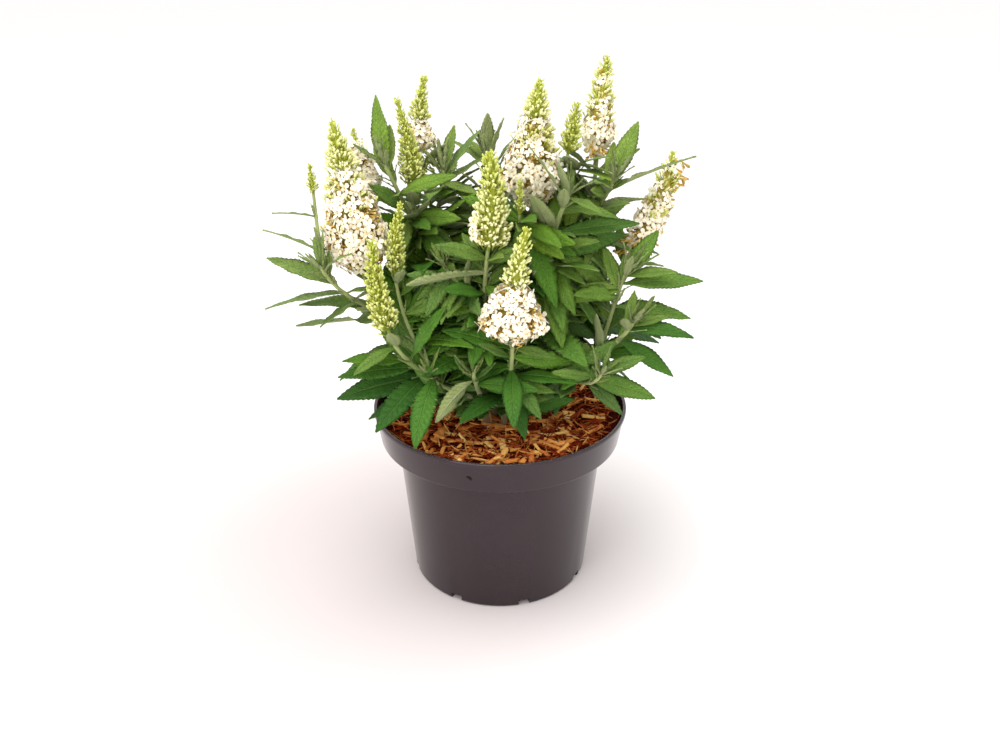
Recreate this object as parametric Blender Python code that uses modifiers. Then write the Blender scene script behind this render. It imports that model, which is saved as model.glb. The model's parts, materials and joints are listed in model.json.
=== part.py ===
"""A potted butterfly bush, in metres with +Z up and the pot's foot on z = 0.

The origin is the middle of the pot's underside. Every piece is an object of its own: the pot, its
soil, the bark mulch, the leafy stems, and the green and white parts of the flower spikes.
"""

import math
import random
from collections import namedtuple

import bmesh
import bpy
from mathutils import Matrix, Vector, noise
from mathutils.bvhtree import BVHTree

MM = 0.001
UP = Vector((0.0, 0.0, 1.0))
GAP = 0.3 * MM
SEED = 11

# The pot
POT_HEIGHT = 141 * MM
RIM_RADIUS = 95 * MM
COLLAR_HEIGHT = 25 * MM
COLLAR_FOOT_RADIUS = 90.3 * MM
BODY_TOP_RADIUS = 78 * MM
FOOT_RADIUS = 68 * MM
WALL = 1.4 * MM
COLLAR_WALL = 2.4 * MM
BEAD_HEIGHT = 2.6 * MM
BEAD_STEP = 1.1 * MM
RIM_EDGE = 0.7 * MM
FLOOR_TOP = 2 * MM
FOOT_CORNER = 3.4 * MM
FOOT_EDGE = 1.3 * MM
POT_SIDES = 36
DRAIN_TURN = 0.35
DRAIN_SLOTS = 8
DRAIN_SLOT = Vector((16 * MM, 9 * MM, 5.4 * MM))
DRAIN_SLOT_INSET = 2 * MM
DRAIN_SLOT_LEVEL = 2.6 * MM
DRAIN_HOLES = 4
DRAIN_HOLE_RADIUS = 4.5 * MM
DRAIN_HOLE_RING = 43 * MM

# The soil and the mulch
SOIL_TOP = 128.5 * MM
MULCH_LEVEL = 134.5 * MM
MULCH_BUMP = 1.8 * MM
BUMPS_PER_METRE = 55.0
MULCH_RINGS = (40 * MM, 70 * MM)
SOIL_SIDES = 18
CHIPS = 16
CHIP_SEED = 17
CHIP_LIFT = 0.7 * MM
GOLDEN_ANGLE = math.pi * (3 - math.sqrt(5))
CHIP_LENGTHS = (12 * MM, 25 * MM)
CHIP_WIDTHS = (4 * MM, 8 * MM)
CHIP_THICKNESSES = (2.2 * MM, 3.6 * MM)
CHIP_FIELD_RADIUS = 86 * MM
HOLE_SIDES = 6
HOLE_RISE = 16 * MM

# The stems
STEM_ROOT_DEPTH = 28 * MM
STEM_STRAIGHT = 9 * MM
STEM_FOOT_RADIUS = 2.5 * MM
STEM_TIP_RADIUS = 1.4 * MM
SIDE_FOOT_RADIUS = 1.8 * MM
SIDE_TIP_RADIUS = 1.2 * MM
STEM_LEAN = 0.011
MAIN_POINTS = 6
SIDE_POINTS = 3

# The leaves
LEAF_WIDTH = 0.31
LEAF_THICKNESS = 1.3 * MM
LEAF_FOLD = 0.12
LEAF_LOWEST = 147 * MM
LEAF_CLEARANCE = 0.9 * MM
# Share of the length, share of the width, share of the thickness
LARGE_BLADE = ((0.2, 0.66, 1.0), (0.44, 1.0, 1.0), (0.74, 0.62, 0.8))
SMALL_BLADE = ((0.34, 1.0, 0.9), (0.7, 0.66, 0.8))
NECK_SHARES = (0.22, 2.0)
SMALL_LEAF = 48 * MM
SEAT_HEIGHT = 2.6 * MM
SEAT_SPACING = 3.6 * MM
SEAT_MARGIN = 1.4 * MM
NECK = 2.2 * MM
# From the top pair down: share of the longest leaf, lift off the square, backward curl
LEAFY_TOP = ((0.4, 64, 0.06), (0.66, 48, 0.1), (0.9, 30, 0.14), (1.0, 20, 0.18), (1.0, 12, 0.2))
FLOWER_TOP = ((0.52, 42, 0.1), (0.8, 32, 0.14), (1.0, 22, 0.18), (1.0, 14, 0.2), (0.95, 8, 0.2))
LEAF_TRIES = tuple(
    (size, lift, turn)
    for size in (1.0, 0.84, 0.7)
    for lift in (0, 14, -14, 28)
    for turn in (0, 15, -15, 32, -32, 50, -50)
)

# The flower spikes
STALK_RADIUS = 1.2 * MM
BORE_CLEARANCE = 0.4 * MM
BUD_LENGTH = 4.2 * MM
BUD_LEAN = 0.55
FLORET_HEIGHT = 3.2 * MM
FLORET_LOBE = 0.82
THROAT_DEPTH = 1.1 * MM

Shoot = namedtuple("Shoot", "name node start tip roll pairs first leaf")
Spike = namedtuple("Spike", "name shoot tip bow open_to widest florets bud_width buds")
Leaf = namedtuple("Leaf", "shoot at heading rise length curl roll")

# Millimetres. A main stem starts at its foot in the mulch, a side shoot at a share of its parent.
SHOOTS = (
    Shoot("left_tall", "left_tall", (-27, -4), (-95, -18, 252), 20, 5, 0.34, 62),
    Shoot("left_reach", "left_tall", ("left_tall", 0.6), (-120, -40, 262), 10, 2, 0.3, 46),
    Shoot("left_bud", "left_tall", ("left_reach", 0.8), (-129, 4, 300), 70, 1, 0.35, 36),
    Shoot("left_front", "left_front", (-22, -18), (-74, -55, 219), 65, 4, 0.36, 60),
    Shoot("left_inner", "left_front", ("left_front", 0.42), (-71, -32, 254), 30, 3, 0.4, 58),
    Shoot("left_back", "left_back", (-17, 11), (-62, 25, 299), 0, 5, 0.34, 66),
    Shoot("left_crest", "left_back", ("left_back", 0.72), (-80, 8, 321), 40, 2, 0.3, 48),
    Shoot("back_left", "back_left", (-9, 21), (-58, 50, 319), 50, 5, 0.36, 64),
    Shoot("back_left_fan", "back_left", ("back_left", 0.7), (-41, 37, 308), 10, 2, 0.35, 46),
    Shoot("back_far_left", "back_left", ("back_left", 0.3), (-68, 76, 262), 60, 5, 0.3, 64),
    Shoot("front", "front", (3, -26), (8, -62, 218), 15, 3, 0.34, 58),
    Shoot("centre_front", "centre_front", (-5, -12), (-8, -35, 272), 60, 4, 0.42, 60),
    Shoot("centre_fan", "centre_front", ("centre_front", 0.62), (-38, -34, 262), 80, 2, 0.4, 46),
    Shoot("centre", "centre", (8, 1), (22, 5, 293), 35, 4, 0.42, 64),
    Shoot("centre_bud", "centre", ("centre", 0.78), (13, -23, 293), 0, 1, 0.6, 26),
    Shoot("back_centre", "centre", ("centre", 0.3), (-11, 55, 318), 20, 4, 0.3, 62),
    Shoot("right_back", "right_back", (15, 14), (69, 35, 319), 70, 5, 0.36, 64),
    Shoot("right_back_bud", "right_back", ("right_back", 0.78), (47, 18, 324), 20, 1, 0.6, 34),
    Shoot("right_crest", "right_back", ("right_back", 0.58), (80, 6, 312), 45, 3, 0.3, 52),
    Shoot("right", "right", (27, 5), (94, 15, 253), 40, 5, 0.36, 64),
    Shoot("centre_right", "centre_right", (17, -9), (47, -20, 309), 55, 5, 0.38, 66),
    Shoot("right_low", "right_low", (28, -11), (91, -45, 225), 25, 3, 0.34, 64),
    Shoot("right_mid", "right_low", ("right_low", 0.56), (88, -26, 256), 60, 2, 0.3, 56),
    Shoot("front_right", "right_low", ("right_low", 0.26), (68, -70, 198), 30, 2, 0.3, 54),
    Shoot("front_low", "front_low", (-9, -28), (-18, -66, 196), 75, 2, 0.34, 54),
    Shoot("left_low", "front_low", ("front_low", 0.25), (-48, -62, 194), 10, 2, 0.3, 60),
    Shoot("back", "back", (6, 28), (4, 88, 283), 30, 5, 0.32, 66),
    Shoot("back_right", "back", ("back", 0.25), (66, 78, 272), 10, 5, 0.3, 66),
)

# Millimetres: bow is how far the middle stands off the straight line; open_to is the share that is
# in flower; florets and buds are how many go round and how many rows there are.
SPIKES = (
    Spike("left_tall", "left_tall", (-110, -12, 355), (0, 0), 0.68, 24, (10, 5), 9, (7, 5)),
    Spike("left_bud", "left_bud", (-130, 4, 321), (0, 0), 0.0, 5, None, 5, (5, 4)),
    Spike("left_front", "left_front", (-83, -52, 285), (-3, 0), 0.0, 12, None, 11, (7, 10)),
    Spike("left_inner", "left_inner", (-65, -29, 304), (-2, 0), 0.0, 9, None, 8.5, (7, 9)),
    Spike("left_back", "left_back", (-71, 25, 361), (2, 0), 0.0, 8, None, 8, (6, 9)),
    Spike("back_left", "back_left", (-53, 55, 371), (-2, 0), 0.42, 13, (6, 2), 8.5, (7, 6)),
    Spike("front", "front", (18, -55, 295), (-3, 0), 0.5, 24, (9, 4), 10.5, (7, 7)),
    Spike("centre_front", "centre_front", (-7, -30, 338), (2, 0), 0.0, 16, None, 16, (9, 10)),
    Spike("centre", "centre", (27, 10, 377), (-2, 0), 0.7, 22, (9, 5), 9, (7, 5)),
    Spike("centre_bud", "centre_bud", (13, -24, 318), (0, 0), 0.0, 5, None, 5, (5, 5)),
    Spike("right_back", "right_back", (73, 35, 388), (-1, 0), 0.78, 13, (6, 5), 7, (5, 4)),
    Spike("right_back_bud", "right_back_bud", (53, 19, 360), (0, 0), 0.0, 9, None, 9, (7, 6)),
    Spike("right", "right", (121, 22, 326), (5, 0), 0.86, 13, (5, 5), 6, (5, 3)),
)

# Leaves that stand out of the bush, placed one by one: heading from +X towards +Y, rise above level
LEAVES = (
    Leaf("left_reach", 0.75, 178, 18, 55, 0.08, 0),
    Leaf("left_reach", 0.65, 185, -4, 56, 0.12, 10),
    Leaf("left_reach", 0.2, 187, -10, 68, 0.12, -60),
    Leaf("left_reach", 0.95, 160, 60, 24, 0.1, 0),
    Leaf("left_reach", 0.95, 15, 52, 28, 0.35, 0),
    Leaf("left_reach", 0.5, 200, -22, 30, 0.15, 0),
    Leaf("left_bud", 0.75, 175, 8, 30, 0.1, 0),
    Leaf("left_bud", 0.35, 165, 22, 44, 0.1, 0),
    Leaf("left_front", 0.65, 186, 2, 54, 0.12, 10),
    Leaf("left_front", 0.5, 190, -2, 66, 0.16, 0),
    Leaf("left_front", 0.9, 205, -15, 34, 0.2, 0),
    Leaf("left_low", 0.9, 255, -22, 54, 0.2, 0),
    Leaf("centre_front", 0.3, 186, 4, 64, 0.12, 0),
    Leaf("centre_front", 0.25, 215, -10, 42, 0.15, 0),
    Leaf("front_low", 0.9, 220, -18, 40, 0.2, 30),
    Leaf("front", 0.7, 272, -18, 46, 0.2, 0),
    Leaf("front", 0.5, 285, -20, 44, 0.2, 0),
    Leaf("front", 0.6, 305, -16, 38, 0.2, 0),
    Leaf("front", 0.93, 350, -2, 28, 0.15, 0),
    Leaf("front", 0.93, 170, 20, 48, 0.15, 0),
    Leaf("centre_right", 0.2, 0, 2, 54, 0.14, 0),
    Leaf("centre_right", 0.15, 345, -10, 42, 0.15, 0),
    Leaf("front_right", 0.6, 315, -15, 34, 0.2, 0),
    Leaf("right_low", 0.2, 272, -10, 28, 0.2, 0),
    Leaf("front_right", 0.7, 352, -8, 46, 0.15, 0),
    Leaf("front_right", 0.9, 5, 26, 34, 0.12, 0),
    Leaf("right_low", 0.6, 10, 22, 34, 0.15, 0),
    Leaf("right_low", 0.82, 340, -20, 44, 0.15, 0),
    Leaf("right_low", 0.85, 20, 38, 34, 0.1, 0),
    Leaf("right_low", 0.92, 350, 18, 42, 0.4, 0),
    Leaf("right_low", 0.96, 5, 24, 26, 0.2, 0),
    Leaf("right_mid", 0.6, 355, -1, 52, 0.12, 0),
    Leaf("right_mid", 0.84, 0, 8, 54, 0.1, 0),
    Leaf("right_mid", 0.92, 12, 42, 42, 0.1, 0),
    Leaf("right_mid", 0.96, 350, 20, 34, 0.2, 0),
    Leaf("right_mid", 0.75, 80, 52, 36, 0.1, 0),
    Leaf("centre_right", 0.8, 3, 12, 58, 0.1, 0),
    Leaf("centre_right", 0.72, 2, 14, 54, 0.1, 60),
    Leaf("centre_right", 0.92, 355, 4, 36, 0.25, 0),
    Leaf("centre_right", 0.97, 265, 74, 34, 0.1, 0),
    Leaf("centre_right", 0.97, 150, 76, 46, 0.1, 0),
    Leaf("centre_right", 0.97, 320, 0, 28, 0.2, 0),
    Leaf("centre_right", 0.7, 235, -20, 38, 0.15, 0),
    Leaf("centre_right", 0.45, 340, 0, 32, 0.15, 0),
    Leaf("right_crest", 0.85, 5, 28, 62, 0.1, 30),
    Leaf("right_crest", 0.92, 30, 58, 46, 0.06, 0),
    Leaf("right_crest", 0.96, 75, 74, 34, 0.1, 0),
    Leaf("left_crest", 0.95, 165, 64, 50, 0.08, -30),
    Leaf("left_crest", 0.95, 60, 72, 34, 0.1, 0),
    Leaf("left_crest", 0.8, 175, 40, 32, 0.1, 0),
    Leaf("left_crest", 0.5, 178, 22, 36, 0.15, 0),
    Leaf("left_back", 0.92, 10, 24, 42, 0.12, 0),
    Leaf("back_left_fan", 0.95, 140, 70, 32, 0.08, 0),
    Leaf("back_left_fan", 0.97, 70, 74, 44, 0.08, 0),
    Leaf("back_left_fan", 0.93, 15, 50, 44, 0.08, 0),
    Leaf("back_left_fan", 0.88, 5, 34, 38, 0.1, 0),
    Leaf("back_centre", 0.96, 125, 68, 34, 0.08, 0),
    Leaf("back_centre", 0.97, 60, 76, 36, 0.08, 0),
    Leaf("back_centre", 0.93, 20, 54, 42, 0.08, 0),
    Leaf("back_centre", 0.9, 172, 42, 36, 0.1, 0),
    Leaf("centre_front", 0.95, 172, 20, 38, 0.15, 0),
    Leaf("centre_front", 0.95, 12, 28, 28, 0.15, 0),
    Leaf("centre_front", 0.88, 184, 2, 56, 0.08, 55),
)


def new_collection(name):
    """A collection linked under the scene."""
    collection = bpy.data.collections.new(name)
    bpy.context.scene.collection.children.link(collection)
    return collection


def new_object(name, mesh, collection):
    """An object of the mesh, linked to the collection."""
    obj = bpy.data.objects.new(name, mesh)
    collection.objects.link(obj)
    return obj


def drop_object(obj):
    """Remove an object that has done its work."""
    bpy.data.objects.remove(obj, do_unlink=True)


def evaluated_mesh(obj):
    """The object's mesh with its modifiers worked out."""
    depsgraph = bpy.context.evaluated_depsgraph_get()
    depsgraph.update()
    return bpy.data.meshes.new_from_object(obj.evaluated_get(depsgraph))


def bake_modifiers(obj):
    """Put the worked-out mesh in the object and drop its modifiers."""
    mesh = evaluated_mesh(obj)
    obj.modifiers.clear()
    obj.data = mesh


def mesh_of(name, points, faces):
    """A mesh from points and faces."""
    mesh = bpy.data.meshes.new(name)
    mesh.from_pydata([tuple(p) for p in points], [], faces)
    mesh.update()
    return mesh


def turned(name, profile, sides, collection):
    """A profile of (radius, height) turned about Z, from the axis and back to the axis."""
    edges = [(i, i + 1) for i in range(len(profile) - 1)]
    mesh = bpy.data.meshes.new(name)
    mesh.from_pydata([(radius, 0.0, height) for radius, height in profile], edges, [])
    obj = new_object(name, mesh, collection)
    screw = obj.modifiers.new("turn", "SCREW")
    screw.steps = sides
    screw.render_steps = sides
    screw.use_merge_vertices = True
    screw.merge_threshold = 1e-5
    bake_modifiers(obj)
    return obj


def fuse(obj, others, solver="EXACT"):
    """Join the other objects to this one in a single union, and remove them."""
    joining = new_collection("joining")
    for other in others:
        for holder in tuple(other.users_collection):
            holder.objects.unlink(other)
        joining.objects.link(other)
    union = obj.modifiers.new("join", "BOOLEAN")
    union.operation = "UNION"
    union.operand_type = "COLLECTION"
    union.collection = joining
    union.solver = solver
    bake_modifiers(obj)
    for other in others:
        drop_object(other)
    bpy.data.collections.remove(joining)


def cut(obj, cutters, solver="EXACT"):
    """Cut each cutter out of the object."""
    for cutter in cutters:
        cutter.hide_render = True
        cutter.display_type = "WIRE"
        difference = obj.modifiers.new("cut", "BOOLEAN")
        difference.operation = "DIFFERENCE"
        difference.solver = solver
        difference.object = cutter
    bake_modifiers(obj)


def material(name, colour, roughness):
    """A plain Principled material."""
    made = bpy.data.materials.new(name)
    made.use_nodes = True
    shader = made.node_tree.nodes["Principled BSDF"]
    shader.inputs["Base Color"].default_value = (*colour, 1.0)
    shader.inputs["Roughness"].default_value = roughness
    shader.inputs["Metallic"].default_value = 0.0
    return made


def finish(obj, surface, smooth=False):
    """Give the object its one material and its shading."""
    obj.data.materials.clear()
    obj.data.materials.append(surface)
    if smooth:
        obj.data.shade_smooth()
        obj.data.set_sharp_from_angle(angle=math.radians(35))


# Pot, soil and mulch


def inner_radius(height):
    """The radius of the pot's inner wall at a height above its step."""
    step = POT_HEIGHT - COLLAR_HEIGHT
    share = (height - step) / COLLAR_HEIGHT
    return COLLAR_FOOT_RADIUS + share * (RIM_RADIUS - COLLAR_FOOT_RADIUS) - COLLAR_WALL


def make_pot(parts, cutters):
    """The moulded pot: flat floor, tapered wall, step, deep collar, beaded rim and drainage."""
    step = POT_HEIGHT - COLLAR_HEIGHT
    profile = (
        (0.0, FLOOR_TOP),
        (FOOT_RADIUS - FOOT_CORNER, FLOOR_TOP),
        (BODY_TOP_RADIUS - WALL, step + WALL),
        (COLLAR_FOOT_RADIUS - WALL, step + WALL),
        (inner_radius(POT_HEIGHT), POT_HEIGHT),
        (RIM_RADIUS - RIM_EDGE, POT_HEIGHT),
        (RIM_RADIUS, POT_HEIGHT - RIM_EDGE),
        (RIM_RADIUS, POT_HEIGHT - BEAD_HEIGHT),
        (RIM_RADIUS - BEAD_STEP, POT_HEIGHT - BEAD_HEIGHT - BEAD_STEP / 2),
        (COLLAR_FOOT_RADIUS, step),
        (BODY_TOP_RADIUS, step),
        (FOOT_RADIUS, FOOT_EDGE),
        (FOOT_RADIUS - FOOT_EDGE, 0.0),
        (0.0, 0.0),
    )
    pot = turned("pot", profile, POT_SIDES, parts)
    tools = []
    for i in range(DRAIN_SLOTS):
        angle = (i + DRAIN_TURN) * math.tau / DRAIN_SLOTS
        tools.append(drain_slot(angle, cutters))
    for i in range(DRAIN_HOLES):
        angle = (i + DRAIN_TURN) * math.tau / DRAIN_HOLES
        tools.append(drain_hole(angle, cutters))
    cut(pot, tools)
    return pot


def drain_slot(angle, cutters):
    """A block that cuts one drainage slot through the foot's corner."""
    mesh = bpy.data.meshes.new("drain_slot")
    work = bmesh.new()
    bmesh.ops.create_cube(work, size=1.0)
    bmesh.ops.scale(work, vec=DRAIN_SLOT, verts=work.verts)
    middle = Matrix.Translation((FOOT_RADIUS - DRAIN_SLOT_INSET, 0.0, DRAIN_SLOT_LEVEL))
    bmesh.ops.transform(work, matrix=Matrix.Rotation(angle, 4, "Z") @ middle, verts=work.verts)
    work.to_mesh(mesh)
    work.free()
    return new_object("drain_slot", mesh, cutters)


def drain_hole(angle, cutters):
    """A rod that cuts one drainage hole through the floor."""
    place = Matrix.Rotation(angle, 4, "Z") @ Matrix.Translation((DRAIN_HOLE_RING, 0.0, FLOOR_TOP / 2))
    return rod("drain_hole", place, DRAIN_HOLE_RADIUS, 8 * MM, 8, cutters)


def rod(name, place, radius, length, sides, collection):
    """A cylinder centred on the placing matrix, along its Z."""
    mesh = bpy.data.meshes.new(name)
    work = bmesh.new()
    bmesh.ops.create_cone(
        work, cap_ends=True, segments=sides, radius1=radius, radius2=radius, depth=length, matrix=place
    )
    work.to_mesh(mesh)
    work.free()
    return new_object(name, mesh, collection)


def stem_hole(foot, collection):
    """A rod that cuts the plain hole that one stem stands in."""
    lean = foot_direction(foot)
    length = STEM_ROOT_DEPTH + GAP + HOLE_RISE
    middle = foot_point(foot) + lean * (HOLE_RISE - length / 2)
    turn = lean.to_track_quat("Z", "Y").to_matrix().to_4x4()
    radius = (STEM_FOOT_RADIUS + GAP) / math.cos(math.pi / HOLE_SIDES)
    return rod("stem_hole", Matrix.Translation(middle) @ turn, radius, length, HOLE_SIDES, collection)


def make_root_ball(parts):
    """The plug of soil that fills the pot up to the mulch."""
    step = POT_HEIGHT - COLLAR_HEIGHT
    profile = (
        (0.0, SOIL_TOP),
        (inner_radius(SOIL_TOP) - 2 * GAP, SOIL_TOP),
        (COLLAR_FOOT_RADIUS - WALL - 2 * GAP, step + WALL + GAP),
        (BODY_TOP_RADIUS - WALL - 2 * GAP, step + WALL + GAP),
        (FOOT_RADIUS - FOOT_CORNER - 2 * GAP, FLOOR_TOP + GAP),
        (0.0, FLOOR_TOP + GAP),
    )
    return turned("root_ball", profile, SOIL_SIDES, parts)


def make_mulch(parts, spare):
    """The layer of shredded bark, with its larger chips standing out of the top."""
    bottom = SOIL_TOP + GAP
    profile = (
        (0.0, MULCH_LEVEL),
        (MULCH_RINGS[0], MULCH_LEVEL),
        (MULCH_RINGS[1], MULCH_LEVEL),
        (inner_radius(MULCH_LEVEL) - 3 * GAP, MULCH_LEVEL),
        (inner_radius(bottom) - 2 * GAP, bottom),
        (0.0, bottom),
    )
    mulch = turned("bark_mulch", profile, POT_SIDES, parts)
    work = bmesh.new()
    work.from_mesh(mulch.data)
    for vertex in work.verts:
        if vertex.co.z > MULCH_LEVEL - GAP:
            vertex.co.z += MULCH_BUMP * noise.noise(vertex.co * BUMPS_PER_METRE)
    bmesh.ops.triangulate(work, faces=work.faces)
    work.to_mesh(mulch.data)
    work.free()
    draw = random.Random(CHIP_SEED)
    chips = [make_chip(draw, i, spare) for i in range(CHIPS)]
    fuse(mulch, chips, "MANIFOLD")
    return mulch


def make_chip(draw, index, spare):
    """One split piece of bark, lying half sunk at a place of its own."""
    length = draw.uniform(*CHIP_LENGTHS)
    size = Vector((length, draw.uniform(*CHIP_WIDTHS), draw.uniform(*CHIP_THICKNESSES)))
    reach = (CHIP_FIELD_RADIUS - length / 2) * math.sqrt((index + 0.5) / CHIPS)
    angle = index * GOLDEN_ANGLE + draw.uniform(-0.25, 0.25)
    mesh = bpy.data.meshes.new("chip")
    work = bmesh.new()
    bmesh.ops.create_cube(work, size=1.0)
    for vertex in work.verts:
        narrow = draw.uniform(0.55, 1.0)
        vertex.co = Vector((vertex.co.x * size.x, vertex.co.y * size.y * narrow, vertex.co.z * size.z))
    turn = Matrix.Rotation(draw.uniform(0, math.tau), 4, "Z")
    tilt = Matrix.Rotation(math.radians(draw.uniform(-9, 9)), 4, "Y")
    roll = Matrix.Rotation(math.radians(draw.uniform(-20, 20)), 4, "X")
    middle = Vector((reach * math.cos(angle), reach * math.sin(angle), MULCH_LEVEL + CHIP_LIFT))
    bmesh.ops.transform(work, matrix=Matrix.Translation(middle) @ turn @ tilt @ roll, verts=work.verts)
    bmesh.ops.triangulate(work, faces=work.faces)
    work.to_mesh(mesh)
    work.free()
    return new_object("chip", mesh, spare)


# Routes of the stems


def foot_point(foot):
    """Where a main stem comes out of the mulch."""
    return Vector((foot[0] * MM, foot[1] * MM, MULCH_LEVEL))


def foot_direction(foot):
    """The way a main stem leans as it comes out."""
    return Vector((foot[0] * STEM_LEAN, foot[1] * STEM_LEAN, 1.0)).normalized()


def bezier(knots, share):
    """A point on the cubic curve with these four knots, and the curve's direction there."""
    a, b, c, d = knots
    rest = 1.0 - share
    point = a * rest**3 + b * 3 * rest * rest * share + c * 3 * rest * share * share + d * share**3
    slope = (b - a) * rest * rest + (c - b) * 2 * rest * share + (d - c) * share * share
    return point, slope.normalized()


def spike_line(spike, start):
    """The three knots of a spike's own curve."""
    tip = Vector(spike.tip) * MM
    middle = (start + tip) / 2 + Vector((spike.bow[0], spike.bow[1], 0.0)) * MM * 2
    return start, middle, tip


def lay_routes():
    """The four knots of every shoot's curve, by the shoot's name."""
    spikes = {spike.shoot: spike for spike in SPIKES}
    routes = {}
    for shoot in SHOOTS:
        tip = Vector(shoot.tip) * MM
        if isinstance(shoot.start[0], str):
            start, lead = bezier(routes[shoot.start[0]], shoot.start[1])
            towards = (tip - start).normalized()
            lead = (lead + towards * 1.4).normalized()
        else:
            lead = foot_direction(shoot.start)
            start = foot_point(shoot.start) + lead * STEM_STRAIGHT
        if shoot.name in spikes:
            line = spike_line(spikes[shoot.name], tip)
            end = (line[1] - line[0]).normalized()
        else:
            outward = Vector((tip.x, tip.y, 0.0)).normalized()
            end = (outward * 0.45 + UP).normalized()
        reach = (tip - start).length
        routes[shoot.name] = (start, start + lead * reach * 0.36, tip - end * reach * 0.34, tip)
    return routes


class Axis:
    """One shoot's square stalk, and the seats on its four sides that leaves grow from."""

    def __init__(self, shoot, knots):
        self.shoot = shoot
        self.knots = knots
        self.side_shoot = isinstance(shoot.start[0], str)
        count = SIDE_POINTS if self.side_shoot else MAIN_POINTS
        self.line = [bezier(knots, i / (count - 1))[0] for i in range(count)]
        self.length = sum(
            (bezier(knots, (i + 1) / 12)[0] - bezier(knots, i / 12)[0]).length for i in range(12)
        )
        across = (knots[3] - knots[0]).cross(UP)
        self.across = across.normalized() if across.length > 8 * MM else Vector((1.0, 0.0, 0.0))
        self.seats = []

    def radius(self, at):
        wide = SIDE_FOOT_RADIUS if self.side_shoot else STEM_FOOT_RADIUS
        thin = SIDE_TIP_RADIUS if self.side_shoot else STEM_TIP_RADIUS
        return wide + (thin - wide) * at

    def frame(self, at):
        """Place, direction and the two square directions at a share of the way up."""
        spans = len(self.line) - 1
        span = min(int(at * spans), spans - 1)
        place = self.line[span].lerp(self.line[span + 1], at * spans - span)
        way = bezier(self.knots, at)[1]
        return place, way, *square_to(way, self.across)

    def facing(self, at, side):
        """The way that one of the four sides faces."""
        _, _, first, second = self.frame(at)
        angle = math.radians(self.shoot.roll + 90 * side)
        return first * math.cos(angle) + second * math.sin(angle)

    def free_seat(self, at, along):
        """The nearest free place and side for a leaf that wants to grow this way."""
        step = SEAT_SPACING / self.length
        sides = sorted(range(4), key=lambda side: -self.facing(at, side).dot(along))
        for seat in self.seats:
            if abs(seat[0] - at) < step * 0.6 and sides[0] not in seat[1]:
                return seat[0], sides[0]
        for hop in (0, -1, 1, -2, 2, -3, -4, -5):
            place = min(at + hop * step, 1.0 - step * 0.8)
            if all(abs(seat[0] - place) >= step for seat in self.seats):
                return place, sides[0]
            for seat in self.seats:
                if abs(seat[0] - place) < step and sides[0] not in seat[1]:
                    return seat[0], sides[0]
        return None

    def take_seat(self, at, side, leaf):
        for seat in self.seats:
            if abs(seat[0] - at) < 1e-9:
                seat[1][side] = leaf
                return
        self.seats.append((at, {side: leaf}))

    def give_up_seat(self, at, side):
        for seat in tuple(self.seats):
            if abs(seat[0] - at) < 1e-9:
                del seat[1][side]
                if not seat[1]:
                    self.seats.remove(seat)

    def crosses_itself(self):
        """True where two faces of the stalk and its leaves meet without sharing a corner."""
        points, faces = self.mesh()
        tree = BVHTree.FromPolygons(points, faces)
        return any(not set(faces[a]) & set(faces[b]) for a, b in tree.overlap(tree) if a < b)

    def root(self, at, side):
        """The middle of a seat, on the stalk's flat side."""
        return self.frame(at)[0] + self.facing(at, side) * self.radius(at) * math.cos(math.pi / 4)

    def corners(self, place, way, radius):
        """The four corners of the square stalk at a place."""
        first, second = square_to(way, self.across)
        angles = [math.radians(self.shoot.roll + 90 * side - 45) for side in range(4)]
        return [place + (first * math.cos(a) + second * math.sin(a)) * radius for a in angles]

    def mesh(self, grow=0.0):
        """Points and faces of the stalk with its leaves raised from their seats."""
        half = SEAT_HEIGHT / 2 / self.length
        count = len(self.line)
        marks = [(i / (count - 1), None) for i in range(count)]
        clear = half + SEAT_MARGIN / self.length
        taken = [seat[0] for seat in self.seats]
        marks = [m for m in marks if all(abs(m[0] - t) > clear for t in taken) or m[0] in (0.0, 1.0)]
        for at, leaves in self.seats:
            marks += [(at - half, None), (at + half, leaves)]
        marks.sort(key=lambda mark: mark[0])
        points, faces = [], [(3, 2, 1, 0)]
        if not self.side_shoot:
            lean = foot_direction(self.shoot.start)
            below = foot_point(self.shoot.start) - lean * STEM_ROOT_DEPTH
            points += self.corners(below, lean, STEM_FOOT_RADIUS + grow)
        for at, leaves in marks:
            place, way = self.frame(at)[:2]
            points += self.corners(place, way, self.radius(at) + grow)
        rings = marks if self.side_shoot else [(0.0, None)] + marks
        order = list(range(len(rings)))
        for row in order[1:]:
            lower, upper = (row - 1) * 4, row * 4
            leaves = rings[row][1] or {}
            for side in range(4):
                after = (side + 1) % 4
                if side in leaves:
                    seat = (upper + after, upper + side, lower + side, lower + after)
                    raise_leaf(points, faces, seat, leaves[side])
                else:
                    faces.append((lower + side, lower + after, upper + after, upper + side))
        last = order[-1] * 4
        faces.append((last, last + 1, last + 2, last + 3))
        return points, faces


def square_to(way, across):
    """Two directions square to the way, the first as near as can be to across."""
    first = (across - way * across.dot(way)).normalized()
    return first, way.cross(first)


def raise_leaf(points, faces, seat, leaf):
    """Grow a blade out of the four corners of its seat."""
    blade_points, blade_faces = leaf
    first = blade_points[:4]
    middles = [(points[seat[i]] + points[seat[(i + 1) % 4]]) / 2 for i in range(4)]
    centre = sum(middles, Vector()) / 4
    start = sum(first, Vector()) / 4

    def mismatch(shift):
        return -sum((middles[i] - centre).dot(first[(i + shift) % 4] - start) for i in range(4))

    shift = min(range(4), key=mismatch)
    base = len(points)
    points += blade_points
    faces += [tuple(i + base for i in face) for face in blade_faces]
    for i in range(4):
        here, after = base + (i + shift) % 4, base + (i + 1 + shift) % 4
        faces.append((seat[i], seat[(i + 1) % 4], here))
        faces.append((seat[(i + 1) % 4], after, here))


# Leaves


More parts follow.
